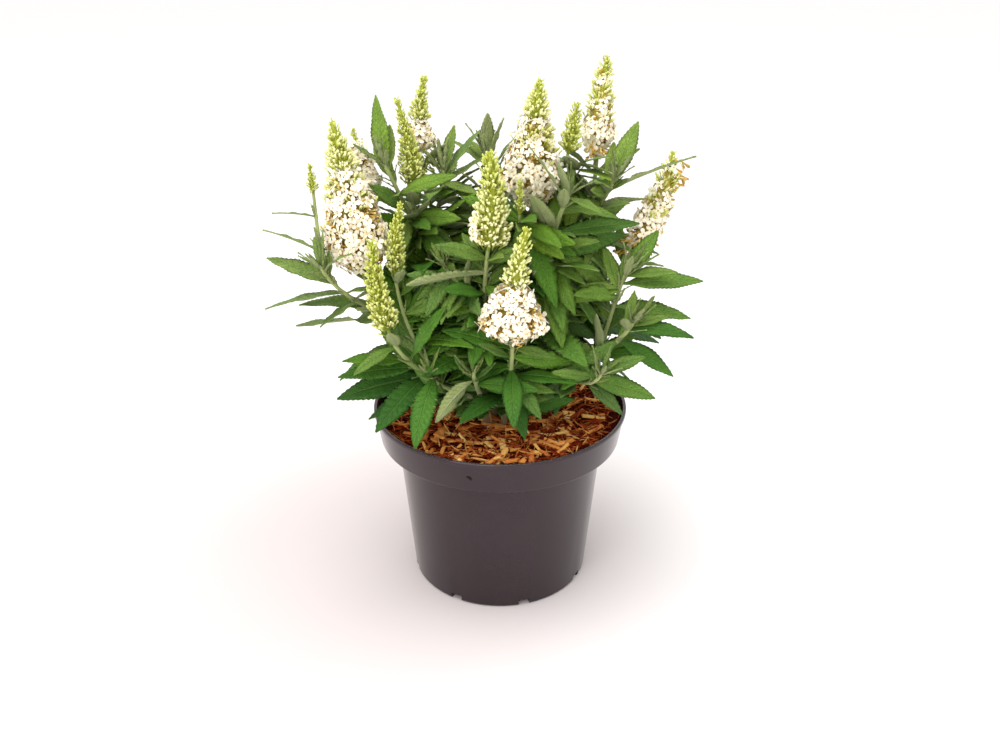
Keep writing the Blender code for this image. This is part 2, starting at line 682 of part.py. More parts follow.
def blade(base, along, face, length, curl, twist, grow=0.0, neck=False):
    """Points and faces of a long folded blade from its first station to its tip, open at the foot.

    With neck, a narrow first station stands just off the stalk and closes the foot.
    """
    stations = LARGE_BLADE if length > SMALL_LEAF else SMALL_BLADE
    if neck:
        stations = ((NECK / length, *NECK_SHARES),) + stations
    width = length * LEAF_WIDTH / 2 + grow
    points = []
    for share, wide, thick in stations:
        turned_face = Matrix.Rotation(twist * share, 3, along) @ face
        side = along.cross(turned_face)
        middle = base + (along * share - face * curl * share * share) * length
        edge = side * width * wide
        lift = turned_face * width * wide * LEAF_FOLD
        half = turned_face * (LEAF_THICKNESS * thick / 2 + grow)
        points += [middle + half, middle + edge + lift, middle - half, middle - edge + lift]
    points.append(base + (along - face * curl) * (length + grow))
    faces = [(0, 3, 2), (0, 2, 1)] if neck else []
    last = len(stations) - 1
    for row in range(last):
        for i in range(4):
            a, b = row * 4 + i, row * 4 + (i + 1) % 4
            c, d = b + 4, a + 4
            faces += [(a, b, d), (b, c, d)] if i % 2 == 0 else [(a, b, c), (a, c, d)]
    faces += [(last * 4 + i, last * 4 + (i + 1) % 4, len(points) - 1) for i in range(4)]
    return points, faces


class Thicket:
    """What already stands in the bush, so that a new leaf can be kept clear of it."""

    def __init__(self):
        self.things = []

    def add(self, points, faces, node):
        tree = BVHTree.FromPolygons(points, faces)
        low = [min(p[i] for p in points) for i in range(3)]
        high = [max(p[i] for p in points) for i in range(3)]
        self.things.append((tree, low, high, node))

    def is_clear(self, grown, plain, node):
        """True where the grown blade misses other nodes and the plain one misses its own."""
        points = grown[0]
        if min(p.z for p in points) < LEAF_LOWEST:
            return False
        low = [min(p[i] for p in points) for i in range(3)]
        high = [max(p[i] for p in points) for i in range(3)]
        wide = BVHTree.FromPolygons(*grown)
        narrow = BVHTree.FromPolygons(*plain)
        for tree, other_low, other_high, other_node in self.things:
            if any(low[i] > other_high[i] or high[i] < other_low[i] for i in range(3)):
                continue
            if (narrow if other_node == node else wide).overlap(tree):
                return False
        return True


def leaf_frame(heading, rise, stem_way, roll):
    """A leaf's direction and the way that its upper face looks."""
    along = Vector((math.cos(heading) * math.cos(rise), math.sin(heading) * math.cos(rise), math.sin(rise)))
    face = stem_way * 0.6 + UP
    face = (face - along * face.dot(along)).normalized()
    return along, Matrix.Rotation(roll, 3, along) @ face


def rule_leaves(axis, flowering, draw):
    """The opposite pairs of a shoot as (share, heading, rise, length, curl, roll)."""
    shoot = axis.shoot
    form = FLOWER_TOP if flowering else LEAFY_TOP
    top = 0.93
    for pair in range(shoot.pairs):
        level = min(shoot.pairs - 1 - pair, len(form) - 1)
        size, lift, curl = form[level]
        at = shoot.first + (top - shoot.first) * pair / max(shoot.pairs - 1, 1)
        way = axis.frame(at)[1]
        for side in (0, 2):
            out = axis.facing(at, side + pair + draw.uniform(-0.14, 0.14))
            raised = math.radians(lift + draw.uniform(-6, 6))
            along = out * math.cos(raised) + way * math.sin(raised)
            lowest, highest = (-8, 48) if level > 1 else (12, 78)
            rise = math.asin(max(-1.0, min(1.0, along.z)))
            rise = max(math.radians(lowest), min(math.radians(highest), rise))
            length = shoot.leaf * size * draw.uniform(0.9, 1.08) * MM
            roll = math.radians(draw.uniform(-16, 16))
            heading = math.atan2(along.y, along.x)
            yield at, heading, rise, length, curl * draw.uniform(0.6, 1.3), roll


def grow_leaves(axes, thicket):
    """Seat every leaf of the bush on its shoot, clear of all that stands there before it."""
    draw = random.Random(SEED)
    flowering = {spike.shoot for spike in SPIKES}
    wanted = []
    for leaf in LEAVES:
        heading, rise, roll = [math.radians(v) for v in (leaf.heading, leaf.rise, leaf.roll)]
        wanted.append((axes[leaf.shoot], (leaf.at, heading, rise, leaf.length * MM, leaf.curl, roll)))
    for shoot in SHOOTS:
        axis = axes[shoot.name]
        wanted += [(axis, row) for row in rule_leaves(axis, shoot.name in flowering, draw)]
    for axis, row in wanted:
        fit_leaf(axis, row, thicket)


def fit_leaf(axis, row, thicket):
    """Seat a leaf the first way that stands clear, or leave it out."""
    share, heading, rise, length, curl, roll = row
    node = axis.shoot.node
    for size, lift, turn in LEAF_TRIES:
        way = axis.frame(share)[1]
        along, face = leaf_frame(heading + math.radians(turn), rise + math.radians(lift), way, roll)
        found = axis.free_seat(share, along)
        if not found:
            continue
        base = axis.root(*found)
        if along.dot(axis.facing(*found)) < 0.1:
            continue
        shape = (base, along, face, length * size, curl, roll * 0.8)
        plain = blade(*shape, neck=True)
        if thicket.is_clear(blade(*shape, grow=LEAF_CLEARANCE, neck=True), plain, node):
            axis.take_seat(*found, blade(*shape))
            if axis.crosses_itself():
                axis.give_up_seat(*found)
                continue
            thicket.add(*plain, node)
            return


# Flower spikes


def spike_frame(line, share):
    """Point, direction and two square directions on a spike's curve."""
    a, b, c = line
    point = a * (1 - share) ** 2 + b * 2 * share * (1 - share) + c * share * share
    way = ((b - a) * (1 - share) + (c - b) * share).normalized()
    across = (Vector((1.0, 0.0, 0.0)) - way * way.x).normalized()
    return point, way, across, way.cross(across)


def ring(line, share, radius, count, turn):
    """The points of one ring round a spike's curve."""
    point, _, across, back = spike_frame(line, share)
    angles = [(i + turn) * math.tau / count for i in range(count)]
    return [point + (across * math.cos(a) + back * math.sin(a)) * radius for a in angles]


def strip(faces, lower, upper, count):
    """Two triangles for each side between two rings of the same count."""
    for i in range(count):
        j = (i + 1) % count
        faces += [(lower + i, lower + j, upper + j), (lower + i, upper + j, upper + i)]


def open_radius(spike, share):
    """How far the open florets reach, at a share of the flowering stretch."""
    if share < 0.3:
        return spike.widest * MM * (0.6 + 0.4 * math.sin(share / 0.3 * math.pi / 2))
    return spike.widest * MM * (1.0 - 0.5 * ((share - 0.3) / 0.7) ** 1.2)


def bud_radius(spike, share):
    """How far the buds reach, at a share of the budded stretch."""
    swell = min(1.0, 0.7 + share * 2.0) if spike.florets is None else 1.0
    return spike.bud_width * MM * swell * (1.0 - 0.72 * share**1.25)


def sleeve_shares(spike):
    """Where the white sleeve starts, turns and ends on the spike's curve."""
    first, last = 0.03, spike.open_to - 0.03
    return first, (first + last) / 2, last


def bud_spike(spike, line, draw):
    """Points and faces of the green part: the stalk, and a core with a point for each bud."""
    count, rows = spike.buds
    start = spike.open_to if spike.florets else 0.07
    points = ring(line, 0.0, STALK_RADIUS, count, 0)
    faces = [tuple(range(count - 1, -1, -1))]
    lower = 0
    for share in sleeve_shares(spike) if spike.florets else (start - 0.02,):
        points += ring(line, share, STALK_RADIUS, count, 0)
        strip(faces, lower, lower + count, count)
        lower += count
    for row in range(rows):
        share = row / rows
        along = start + (1 - start) * share
        reach = bud_radius(spike, share)
        upper = len(points)
        points += ring(line, along, reach - min(BUD_LENGTH, reach * 0.5), count, row % 2 * 0.5)
        if row == 0:
            strip(faces, lower, upper, count)
        else:
            centre, way, _, _ = spike_frame(line, along)
            bud_row(points, faces, (lower, upper, count), (centre, way), reach, draw)
        lower = upper
    points.append(line[2])
    tip = len(points) - 1
    faces += [(lower + i, lower + (i + 1) % count, tip) for i in range(count)]
    return points, faces


def bud_row(points, faces, rings, axis, reach, draw):
    """Raise a bud out of each side between one ring and the next."""
    lower, upper, count = rings
    centre, way = axis
    for i in range(count):
        j = (i + 1) % count
        corners = (lower + i, lower + j, upper + j, upper + i)
        middle = sum((points[c] for c in corners), Vector()) / 4
        out = middle - centre
        out = (out - way * out.dot(way)).normalized()
        length = min(BUD_LENGTH, reach * 0.5) * draw.uniform(0.8, 1.25)
        points.append(middle + out * length + way * length * BUD_LEAN)
        tip = len(points) - 1
        for k in range(4):
            faces.append((corners[k], corners[(k + 1) % 4], tip))


def floret_sleeve(spike, line, draw):
    """Points and faces of the white part: a bored core with a four-lobed floret on each cell."""
    count, rows = spike.florets
    bore = (STALK_RADIUS + BORE_CLEARANCE) / math.cos(math.pi / count)
    first, _, last = sleeve_shares(spike)
    points, faces, middles = [], [], {}
    for row in range(rows + 1):
        share = row / rows
        reach = open_radius(spike, share) - FLORET_HEIGHT
        points += ring(line, first + (last - first) * share, reach, count, row % 2 * 0.5)
    inner = len(points)
    for place, share in enumerate(sleeve_shares(spike)):
        points += ring(line, share, bore, count, rows % 2 * 0.25 * place)
    for row in range(2):
        wall = []
        strip(wall, inner + row * count, inner + (row + 1) * count, count)
        faces += [face[::-1] for face in wall]
    for row in range(rows):
        frame = spike_frame(line, first + (last - first) * (row + 0.5) / rows)
        low, high = row * count, (row + 1) * count
        for i in range(count):
            j = (i + 1) % count
            floret(points, faces, middles, (low + i, low + j, high + j, high + i), frame, draw)
    for i in range(count):
        j = (i + 1) % count
        end_wedge(faces, (inner + i, inner + j), (i, side_middle(points, middles, i, j), j))
        top, bore_top = rows * count, inner + 2 * count
        wedge = (top + i, side_middle(points, middles, top + i, top + j), top + j)
        end_wedge(faces, (bore_top + j, bore_top + i), wedge[::-1])
    return points, faces


def end_wedge(faces, bore_pair, rim_three):
    """Close a sleeve's end between two points of the bore and three of its outer rim."""
    faces.append((bore_pair[0], bore_pair[1], rim_three[1]))
    faces.append((bore_pair[0], rim_three[1], rim_three[0]))
    faces.append((bore_pair[1], rim_three[2], rim_three[1]))


def side_middle(points, middles, first, second):
    """The point halfway along a cell's side, shared with the next cell."""
    key = (min(first, second), max(first, second))
    if key not in middles:
        points.append((points[first] + points[second]) / 2)
        middles[key] = len(points) - 1
    return middles[key]


def floret(points, faces, middles, corners, frame, draw):
    """One four-lobed floret raised from its cell: a lobe over each corner, a notch on each side."""
    centre, way = frame[0], frame[1]
    middle = sum((points[c] for c in corners), Vector()) / 4
    out = middle - centre
    out = (out - way * out.dot(way) * 0.7).normalized()
    rise = FLORET_HEIGHT * draw.uniform(0.8, 1.15)
    notches = [side_middle(points, middles, corners[k], corners[(k + 1) % 4]) for k in range(4)]
    first = len(points)
    for corner in corners:
        points.append(middle + (points[corner] - middle) * FLORET_LOBE + out * rise)
    points.append(middle + out * (rise - THROAT_DEPTH))
    throat = len(points) - 1
    for k in range(4):
        lobe, after, before = first + k, notches[k], notches[k - 1]
        faces += [(before, corners[k], lobe), (corners[k], after, lobe)]
        faces += [(before, lobe, throat), (lobe, after, throat)]


def spike_hull(spike, line):
    """A plain envelope of the whole spike, to keep leaves off it."""
    count = 8
    points, faces = [], []
    shares = (0.0, 0.06, 0.3, 0.55, 0.8, 1.0)
    for share in shares:
        if share < spike.open_to:
            reach = open_radius(spike, share / spike.open_to)
        else:
            reach = bud_radius(spike, (share - spike.open_to) / (1 - spike.open_to)) + 1.5 * MM
        points += ring(line, share, (reach if share else STALK_RADIUS) + 1.5 * MM, count, 0)
    for row in range(len(shares) - 1):
        strip(faces, row * count, (row + 1) * count, count)
    return points, faces


def make_spike(spike, axis, thicket, parts, bud, petal):
    """Stand one flower spike on its shoot's tip: the green part, and the white one if it is open."""
    tip = axis.knots[3]
    direct = spike_line(spike, tip)
    start = tip + (direct[1] - direct[0]).normalized() * GAP * 1.3
    line = spike_line(spike, start)
    thicket.add(*spike_hull(spike, line), "spike_" + spike.name)
    draw = random.Random(SEED)
    buds = mesh_of("buds", *bud_spike(spike, line, draw))
    finish(new_object("spike_" + spike.name + "_buds", buds, parts), bud)
    if spike.florets:
        white = mesh_of("florets", *floret_sleeve(spike, line, draw))
        finish(new_object("spike_" + spike.name + "_florets", white, parts), petal)


def main():
    """Build the whole object in the open scene."""
    for obj in tuple(bpy.data.objects):
        drop_object(obj)
    parts = new_collection("potted_butterfly_bush")
    cutters = new_collection("cutters")
    spare = new_collection("repeats")

    plastic = material("black_plastic", (0.035, 0.032, 0.036), 0.25)
    soil = material("soil", (0.04, 0.025, 0.018), 0.95)
    bark = material("bark", (0.25, 0.09, 0.035), 0.85)
    leaf = material("leaf_and_stem", (0.09, 0.2, 0.05), 0.55)
    bud = material("bud_green", (0.45, 0.5, 0.12), 0.6)
    petal = material("petal_white", (0.9, 0.86, 0.76), 0.6)

    finish(make_pot(parts, cutters), plastic, smooth=True)
    root_ball = make_root_ball(parts)
    mulch = make_mulch(parts, spare)
    holes = [stem_hole(s.start, cutters) for s in SHOOTS if not isinstance(s.start[0], str)]
    cut(root_ball, holes)
    cut(mulch, holes, "MANIFOLD")
    finish(root_ball, soil)
    finish(mulch, bark)

    thicket = Thicket()
    axes = {shoot.name: Axis(shoot, knots) for shoot, knots in zip(SHOOTS, lay_routes().values())}
    for axis in axes.values():
        thicket.add(*axis.mesh(grow=GAP), axis.shoot.node)
    for spike in SPIKES:
        make_spike(spike, axes[spike.shoot], thicket, parts, bud, petal)
    grow_leaves(axes, thicket)
    stems = {}
    for name, axis in axes.items():
        piece = new_object(name, mesh_of(name, *axis.mesh()), spare)
        stems.setdefault(axis.shoot.node, []).append(piece)
    for node, pieces in stems.items():
        stem = pieces[0]
        spare.objects.unlink(stem)
        parts.objects.link(stem)
        if len(pieces) > 1:
            fuse(stem, pieces[1:])
        stem.name = "stem_" + node
        finish(stem, leaf)


main()
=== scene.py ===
"""The looks of a potted butterfly bush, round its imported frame.

The frame is in metres with +Z up and the pot's foot on z = 0. Each leafy stem, each green spike and
each white sleeve is rebuilt on the frame's own lines with fine leaves, buds and florets. The pot and
the bark are rebuilt in the same way, and the soil under the bark is the frame's own.
"""

import json
import math
import random
from collections import namedtuple

import bpy
import numpy as np
from mathutils import Matrix, Vector, noise
from mathutils.bvhtree import BVHTree

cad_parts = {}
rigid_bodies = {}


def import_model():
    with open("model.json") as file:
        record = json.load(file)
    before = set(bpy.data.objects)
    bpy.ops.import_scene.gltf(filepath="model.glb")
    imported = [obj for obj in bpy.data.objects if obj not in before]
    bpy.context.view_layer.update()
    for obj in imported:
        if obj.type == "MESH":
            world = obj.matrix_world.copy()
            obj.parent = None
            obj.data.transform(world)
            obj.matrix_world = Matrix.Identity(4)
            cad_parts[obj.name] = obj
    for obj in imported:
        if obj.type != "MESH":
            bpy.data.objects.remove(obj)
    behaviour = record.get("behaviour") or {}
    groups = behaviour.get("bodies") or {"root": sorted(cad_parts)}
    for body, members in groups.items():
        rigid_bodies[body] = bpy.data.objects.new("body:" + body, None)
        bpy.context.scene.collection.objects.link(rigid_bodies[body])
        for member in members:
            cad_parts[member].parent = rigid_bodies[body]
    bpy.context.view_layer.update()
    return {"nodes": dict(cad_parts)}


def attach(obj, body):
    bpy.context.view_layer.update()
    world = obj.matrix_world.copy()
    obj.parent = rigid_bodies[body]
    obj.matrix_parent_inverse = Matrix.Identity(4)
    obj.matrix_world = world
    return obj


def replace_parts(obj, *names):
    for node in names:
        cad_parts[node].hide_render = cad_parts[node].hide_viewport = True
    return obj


MM = 0.001
UP = Vector((0.0, 0.0, 1.0))
RIGHT = Vector((1.0, 0.0, 0.0))
GAP = 0.3 * MM
SEED = 11
BODY = "root"
GOLDEN_ANGLE = math.pi * (3 - math.sqrt(5))

# The pot
POT_HEIGHT = 141 * MM
RIM_RADIUS = 95 * MM
COLLAR_HEIGHT = 25 * MM
STEP_HEIGHT = POT_HEIGHT - COLLAR_HEIGHT
COLLAR_FOOT_RADIUS = 90.3 * MM
BODY_TOP_RADIUS = 78 * MM
FOOT_RADIUS = 68 * MM
WALL = 1.4 * MM
COLLAR_WALL = 2.4 * MM
BEAD_HEIGHT = 2.6 * MM
BEAD_STEP = 1.1 * MM
FLOOR_TOP = 2 * MM
FOOT_CORNER = 3.4 * MM
FOOT_EDGE = 1.3 * MM
DRAIN_TURN = 0.35
DRAIN_SLOTS = 8
DRAIN_SLOT = Vector((16 * MM, 9 * MM, 5.4 * MM))
DRAIN_SLOT_INSET = 2 * MM
DRAIN_SLOT_LEVEL = 2.6 * MM
DRAIN_HOLES = 4
DRAIN_HOLE_RADIUS = 4.5 * MM
DRAIN_HOLE_RING = 43 * MM

# The soil and the mulch
SOIL_TOP = 128.5 * MM
MULCH_LEVEL = 134.5 * MM
MULCH_BUMP = 1.8 * MM
BUMPS_PER_METRE = 55.0
CHIPS = 16
CHIP_SEED = 17
CHIP_LIFT = 0.7 * MM
CHIP_LENGTHS = (12 * MM, 25 * MM)
CHIP_WIDTHS = (4 * MM, 8 * MM)
CHIP_THICKNESSES = (2.2 * MM, 3.6 * MM)
CHIP_FIELD_RADIUS = 86 * MM

# The stems
STEM_ROOT_DEPTH = 28 * MM
STEM_STRAIGHT = 9 * MM
STEM_FOOT_RADIUS = 2.5 * MM
STEM_TIP_RADIUS = 1.4 * MM
SIDE_FOOT_RADIUS = 1.8 * MM
SIDE_TIP_RADIUS = 1.2 * MM
STALK_RADIUS = 1.2 * MM
STEM_LEAN = 0.011
MAIN_POINTS = 6
SIDE_POINTS = 3

# The leaves
LEAF_WIDTH = 0.31
LEAF_THICKNESS = 1.3 * MM
LEAF_FOLD = 0.12
LEAF_LOWEST = 147 * MM
LEAF_CLEARANCE = 0.9 * MM
# Share of the length, share of the width, share of the thickness
LARGE_BLADE = ((0.2, 0.66, 1.0), (0.44, 1.0, 1.0), (0.74, 0.62, 0.8))
SMALL_BLADE = ((0.34, 1.0, 0.9), (0.7, 0.66, 0.8))
NECK_SHARES = (0.22, 2.0)
SMALL_LEAF = 48 * MM
SEAT_HEIGHT = 2.6 * MM
SEAT_SPACING = 3.6 * MM
SEAT_MARGIN = 1.4 * MM
NECK = 2.2 * MM
TOP_PAIR = 0.93
# From the top pair down: share of the longest leaf, lift off the square, backward curl
LEAFY_TOP = ((0.4, 64, 0.06), (0.66, 48, 0.1), (0.9, 30, 0.14), (1.0, 20, 0.18), (1.0, 12, 0.2))
FLOWER_TOP = ((0.52, 42, 0.1), (0.8, 32, 0.14), (1.0, 22, 0.18), (1.0, 14, 0.2), (0.95, 8, 0.2))
# Share of the length, and degrees up and round, that a leaf may change to find a free place
LEAF_TRIES = tuple(
    (size, lift, turn)
    for size in (1.0, 0.84, 0.7)
    for lift in (0, 14, -14, 28)
    for turn in (0, 15, -15, 32, -32, 50, -50)
)

Shoot = namedtuple("Shoot", "name start tip roll pairs first leaf")
Spike = namedtuple("Spike", "name tip bow open_to widest over_sleeve bud_width")

# Millimetres. A main stem starts at its foot in the mulch, a side shoot at a share of its parent.
SHOOTS = tuple(Shoot(*row) for row in (
    ("left_tall", (-27, -4), (-95, -18, 252), 20, 5, 0.34, 62),
    ("left_reach", ("left_tall", 0.6), (-120, -40, 262), 10, 2, 0.3, 46),
    ("left_bud", ("left_reach", 0.8), (-129, 4, 300), 70, 1, 0.35, 36),
    ("left_front", (-22, -18), (-74, -55, 219), 65, 4, 0.36, 60),
    ("left_inner", ("left_front", 0.42), (-71, -32, 254), 30, 3, 0.4, 58),
    ("left_back", (-17, 11), (-62, 25, 299), 0, 5, 0.34, 66),
    ("left_crest", ("left_back", 0.72), (-80, 8, 321), 40, 2, 0.3, 48),
    ("back_left", (-9, 21), (-58, 50, 319), 50, 5, 0.36, 64),
    ("back_left_fan", ("back_left", 0.7), (-41, 37, 308), 10, 2, 0.35, 46),
    ("back_far_left", ("back_left", 0.3), (-68, 76, 262), 60, 5, 0.3, 64),
    ("front", (3, -26), (8, -62, 218), 15, 3, 0.34, 58),
    ("centre_front", (-5, -12), (-8, -35, 272), 60, 4, 0.42, 60),
    ("centre_fan", ("centre_front", 0.62), (-38, -34, 262), 80, 2, 0.4, 46),
    ("centre", (8, 1), (22, 5, 293), 35, 4, 0.42, 64),
    ("centre_bud", ("centre", 0.78), (13, -23, 293), 0, 1, 0.6, 26),
    ("back_centre", ("centre", 0.3), (-11, 55, 318), 20, 4, 0.3, 62),
    ("right_back", (15, 14), (69, 35, 319), 70, 5, 0.36, 64),
    ("right_back_bud", ("right_back", 0.78), (47, 18, 324), 20, 1, 0.6, 34),
    ("right_crest", ("right_back", 0.58), (80, 6, 312), 45, 3, 0.3, 52),
    ("right", (27, 5), (94, 15, 253), 40, 5, 0.36, 64),
    ("centre_right", (17, -9), (47, -20, 309), 55, 5, 0.38, 66),
    ("right_low", (28, -11), (91, -45, 225), 25, 3, 0.34, 64),
    ("right_mid", ("right_low", 0.56), (88, -26, 256), 60, 2, 0.3, 56),
    ("front_right", ("right_low", 0.26), (68, -70, 198), 30, 2, 0.3, 54),
    ("front_low", (-9, -28), (-18, -66, 196), 75, 2, 0.34, 54),
    ("left_low", ("front_low", 0.25), (-48, -62, 194), 10, 2, 0.3, 60),
    ("back", (6, 28), (4, 88, 283), 30, 5, 0.32, 66),
    ("back_right", ("back", 0.25), (66, 78, 272), 10, 5, 0.3, 66),
))

# Millimetres. Each spike stands on the shoot of its name; bow is how far its middle stands off the
# straight line, open_to is the share that is in flower, and over_sleeve is true where the buds start
# above the florets.
SPIKES = tuple(Spike(*row) for row in (
    ("left_tall", (-110, -12, 355), (0, 0), 0.68, 24, True, 9),
    ("left_bud", (-130, 4, 321), (0, 0), 0.0, 5, False, 5),
    ("left_front", (-83, -52, 285), (-3, 0), 0.0, 12, False, 11),
    ("left_inner", (-65, -29, 304), (-2, 0), 0.0, 9, False, 8.5),
    ("left_back", (-71, 25, 361), (2, 0), 0.0, 8, False, 8),
    ("back_left", (-53, 55, 371), (-2, 0), 0.42, 13, True, 8.5),
    ("front", (18, -55, 295), (-3, 0), 0.5, 24, True, 10.5),
    ("centre_front", (-7, -30, 338), (2, 0), 0.0, 16, False, 16),
    ("centre", (27, 10, 377), (-2, 0), 0.7, 22, True, 9),
    ("centre_bud", (13, -24, 318), (0, 0), 0.0, 5, False, 5),
    ("right_back", (73, 35, 388), (-1, 0), 0.78, 13, True, 7),
    ("right_back_bud", (53, 19, 360), (0, 0), 0.0, 9, False, 9),
    ("right", (121, 22, 326), (5, 0), 0.86, 13, True, 6),
))
FLOWERING = {spike.name for spike in SPIKES}

# Leaves that stand out of the bush, placed one by one on their shoots: share of the shoot, heading
# from +X towards +Y, rise above level, length in millimetres, curl and roll
LEAVES = (
    ("left_reach", (0.75, 178, 18, 55, 0.08, 0), (0.65, 185, -4, 56, 0.12, 10),
     (0.2, 187, -10, 68, 0.12, -60), (0.95, 160, 60, 24, 0.1, 0), (0.95, 15, 52, 28, 0.35, 0),
     (0.5, 200, -22, 30, 0.15, 0)),
    ("left_bud", (0.75, 175, 8, 30, 0.1, 0), (0.35, 165, 22, 44, 0.1, 0)),
    ("left_front", (0.65, 186, 2, 54, 0.12, 10), (0.5, 190, -2, 66, 0.16, 0),
     (0.9, 205, -15, 34, 0.2, 0)),
    ("left_low", (0.9, 255, -22, 54, 0.2, 0)),
    ("centre_front", (0.3, 186, 4, 64, 0.12, 0), (0.25, 215, -10, 42, 0.15, 0)),
    ("front_low", (0.9, 220, -18, 40, 0.2, 30)),
    ("front", (0.7, 272, -18, 46, 0.2, 0), (0.5, 285, -20, 44, 0.2, 0), (0.6, 305, -16, 38, 0.2, 0),
     (0.93, 350, -2, 28, 0.15, 0), (0.93, 170, 20, 48, 0.15, 0)),
    ("centre_right", (0.2, 0, 2, 54, 0.14, 0), (0.15, 345, -10, 42, 0.15, 0)),
    ("front_right", (0.6, 315, -15, 34, 0.2, 0)),
    ("right_low", (0.2, 272, -10, 28, 0.2, 0)),
    ("front_right", (0.7, 352, -8, 46, 0.15, 0), (0.9, 5, 26, 34, 0.12, 0)),
    ("right_low", (0.6, 10, 22, 34, 0.15, 0), (0.82, 340, -20, 44, 0.15, 0),
     (0.85, 20, 38, 34, 0.1, 0), (0.92, 350, 18, 42, 0.4, 0), (0.96, 5, 24, 26, 0.2, 0)),
    ("right_mid", (0.6, 355, -1, 52, 0.12, 0), (0.84, 0, 8, 54, 0.1, 0), (0.92, 12, 42, 42, 0.1, 0),
     (0.96, 350, 20, 34, 0.2, 0), (0.75, 80, 52, 36, 0.1, 0)),
    ("centre_right", (0.8, 3, 12, 58, 0.1, 0), (0.72, 2, 14, 54, 0.1, 60),
     (0.92, 355, 4, 36, 0.25, 0), (0.97, 265, 74, 34, 0.1, 0), (0.97, 150, 76, 46, 0.1, 0),
     (0.97, 320, 0, 28, 0.2, 0), (0.7, 235, -20, 38, 0.15, 0), (0.45, 340, 0, 32, 0.15, 0)),
    ("right_crest", (0.85, 5, 28, 62, 0.1, 30), (0.92, 30, 58, 46, 0.06, 0),
     (0.96, 75, 74, 34, 0.1, 0)),
    ("left_crest", (0.95, 165, 64, 50, 0.08, -30), (0.95, 60, 72, 34, 0.1, 0),
     (0.8, 175, 40, 32, 0.1, 0), (0.5, 178, 22, 36, 0.15, 0)),
    ("left_back", (0.92, 10, 24, 42, 0.12, 0)),
    ("back_left_fan", (0.95, 140, 70, 32, 0.08, 0), (0.97, 70, 74, 44, 0.08, 0),
     (0.93, 15, 50, 44, 0.08, 0), (0.88, 5, 34, 38, 0.1, 0)),
    ("back_centre", (0.96, 125, 68, 34, 0.08, 0), (0.97, 60, 76, 36, 0.08, 0),
     (0.93, 20, 54, 42, 0.08, 0), (0.9, 172, 42, 36, 0.1, 0)),
    ("centre_front", (0.95, 172, 20, 38, 0.15, 0), (0.95, 12, 28, 28, 0.15, 0),
     (0.88, 184, 2, 56, 0.08, 55)),
)


def clamp(value, low=0.0, high=1.0):
    """The value, kept between two limits."""
    return min(high, max(low, value))


def polar(reach, angle):
    """The place at a distance and an angle from the middle."""
    return reach * math.cos(angle), reach * math.sin(angle)


def circle(radius, count):
    """The corners of a ring round the middle."""
    return [polar(radius, i * math.tau / count) for i in range(count)]


def swung(first, second, angle):
    """The way that lies at an angle from the first towards the second."""
    return first * math.cos(angle) + second * math.sin(angle)


def squared(way, along):
    """The part of a way that is square to along, at length 1."""
    return (way - along * along.dot(way)).normalized()


def put(name, data):
    """A new object in the scene."""
    obj = bpy.data.objects.new(name, data)
    bpy.context.scene.collection.objects.link(obj)
    return obj


def put_mesh(name, points, faces):
    """A new mesh object in the scene."""
    mesh = bpy.data.meshes.new(name)
    mesh.from_pydata([tuple(point) for point in points], [], faces)
    return put(name, mesh)


# The studio

CAMERA_DISTANCE = 747.8 * MM
CAMERA_ELEVATION = math.radians(26.0)
CAMERA_TARGET = Vector((0.0, 0.0, 162.5 * MM))
LENS_MM = 36.0
NEAREST, FARTHEST = 0.02, 50.0
FLOOR_SIZE = 14.0
ROOM_WHITE = (1.0, 0.99, 0.985, 1.0)
ROOM_STRENGTH = 1.06
# Name, place, size and power
SOFTBOXES = (("overhead", (-0.3, -0.25, 1.7), 1.2, 16.0), ("front", (-0.7, -1.7, 1.1), 1.4, 12.0))


def set_up_camera():
    """A camera in front of the pot, looking down at it."""
    camera = put("camera", bpy.data.cameras.new("camera"))
    back = Vector((0.0, -math.cos(CAMERA_ELEVATION), math.sin(CAMERA_ELEVATION)))
    camera.location = CAMERA_TARGET + back * CAMERA_DISTANCE
    camera.rotation_euler = (-back).to_track_quat("-Z", "Y").to_euler()
    camera.data.lens = camera.data.sensor_width = LENS_MM
    camera.data.clip_start = NEAREST
    camera.data.clip_end = FARTHEST
    bpy.context.scene.camera = camera


def lay_floor(paper):
    """A wide pale sheet that the pot stands on."""
    half = FLOOR_SIZE / 2
    corners = [(-half, -half, 0), (half, -half, 0), (half, half, 0), (-half, half, 0)]
    floor = put_mesh("floor", corners, [(0, 1, 2, 3)])
    floor.data.materials.append(paper)


def light_studio():
    """A bright white room with one large softbox overhead and one in front."""
    world = bpy.data.worlds.new("white_room")
    world.use_nodes = True
    background = world.node_tree.nodes["Background"]
    background.inputs["Color"].default_value = ROOM_WHITE
    background.inputs["Strength"].default_value = ROOM_STRENGTH
    bpy.context.scene.world = world
    for name, place, size, power in SOFTBOXES:
        light = bpy.data.lights.new(name, "AREA")
        light.size = size
        light.energy = power
        softbox = put(name, light)
        softbox.location = place
        softbox.rotation_euler = (CAMERA_TARGET - Vector(place)).to_track_quat("-Z", "Y").to_euler()
    view = bpy.context.scene.view_settings
    view.view_transform = "Standard"
    view.look = "None"


# Shader groups that several finishes share


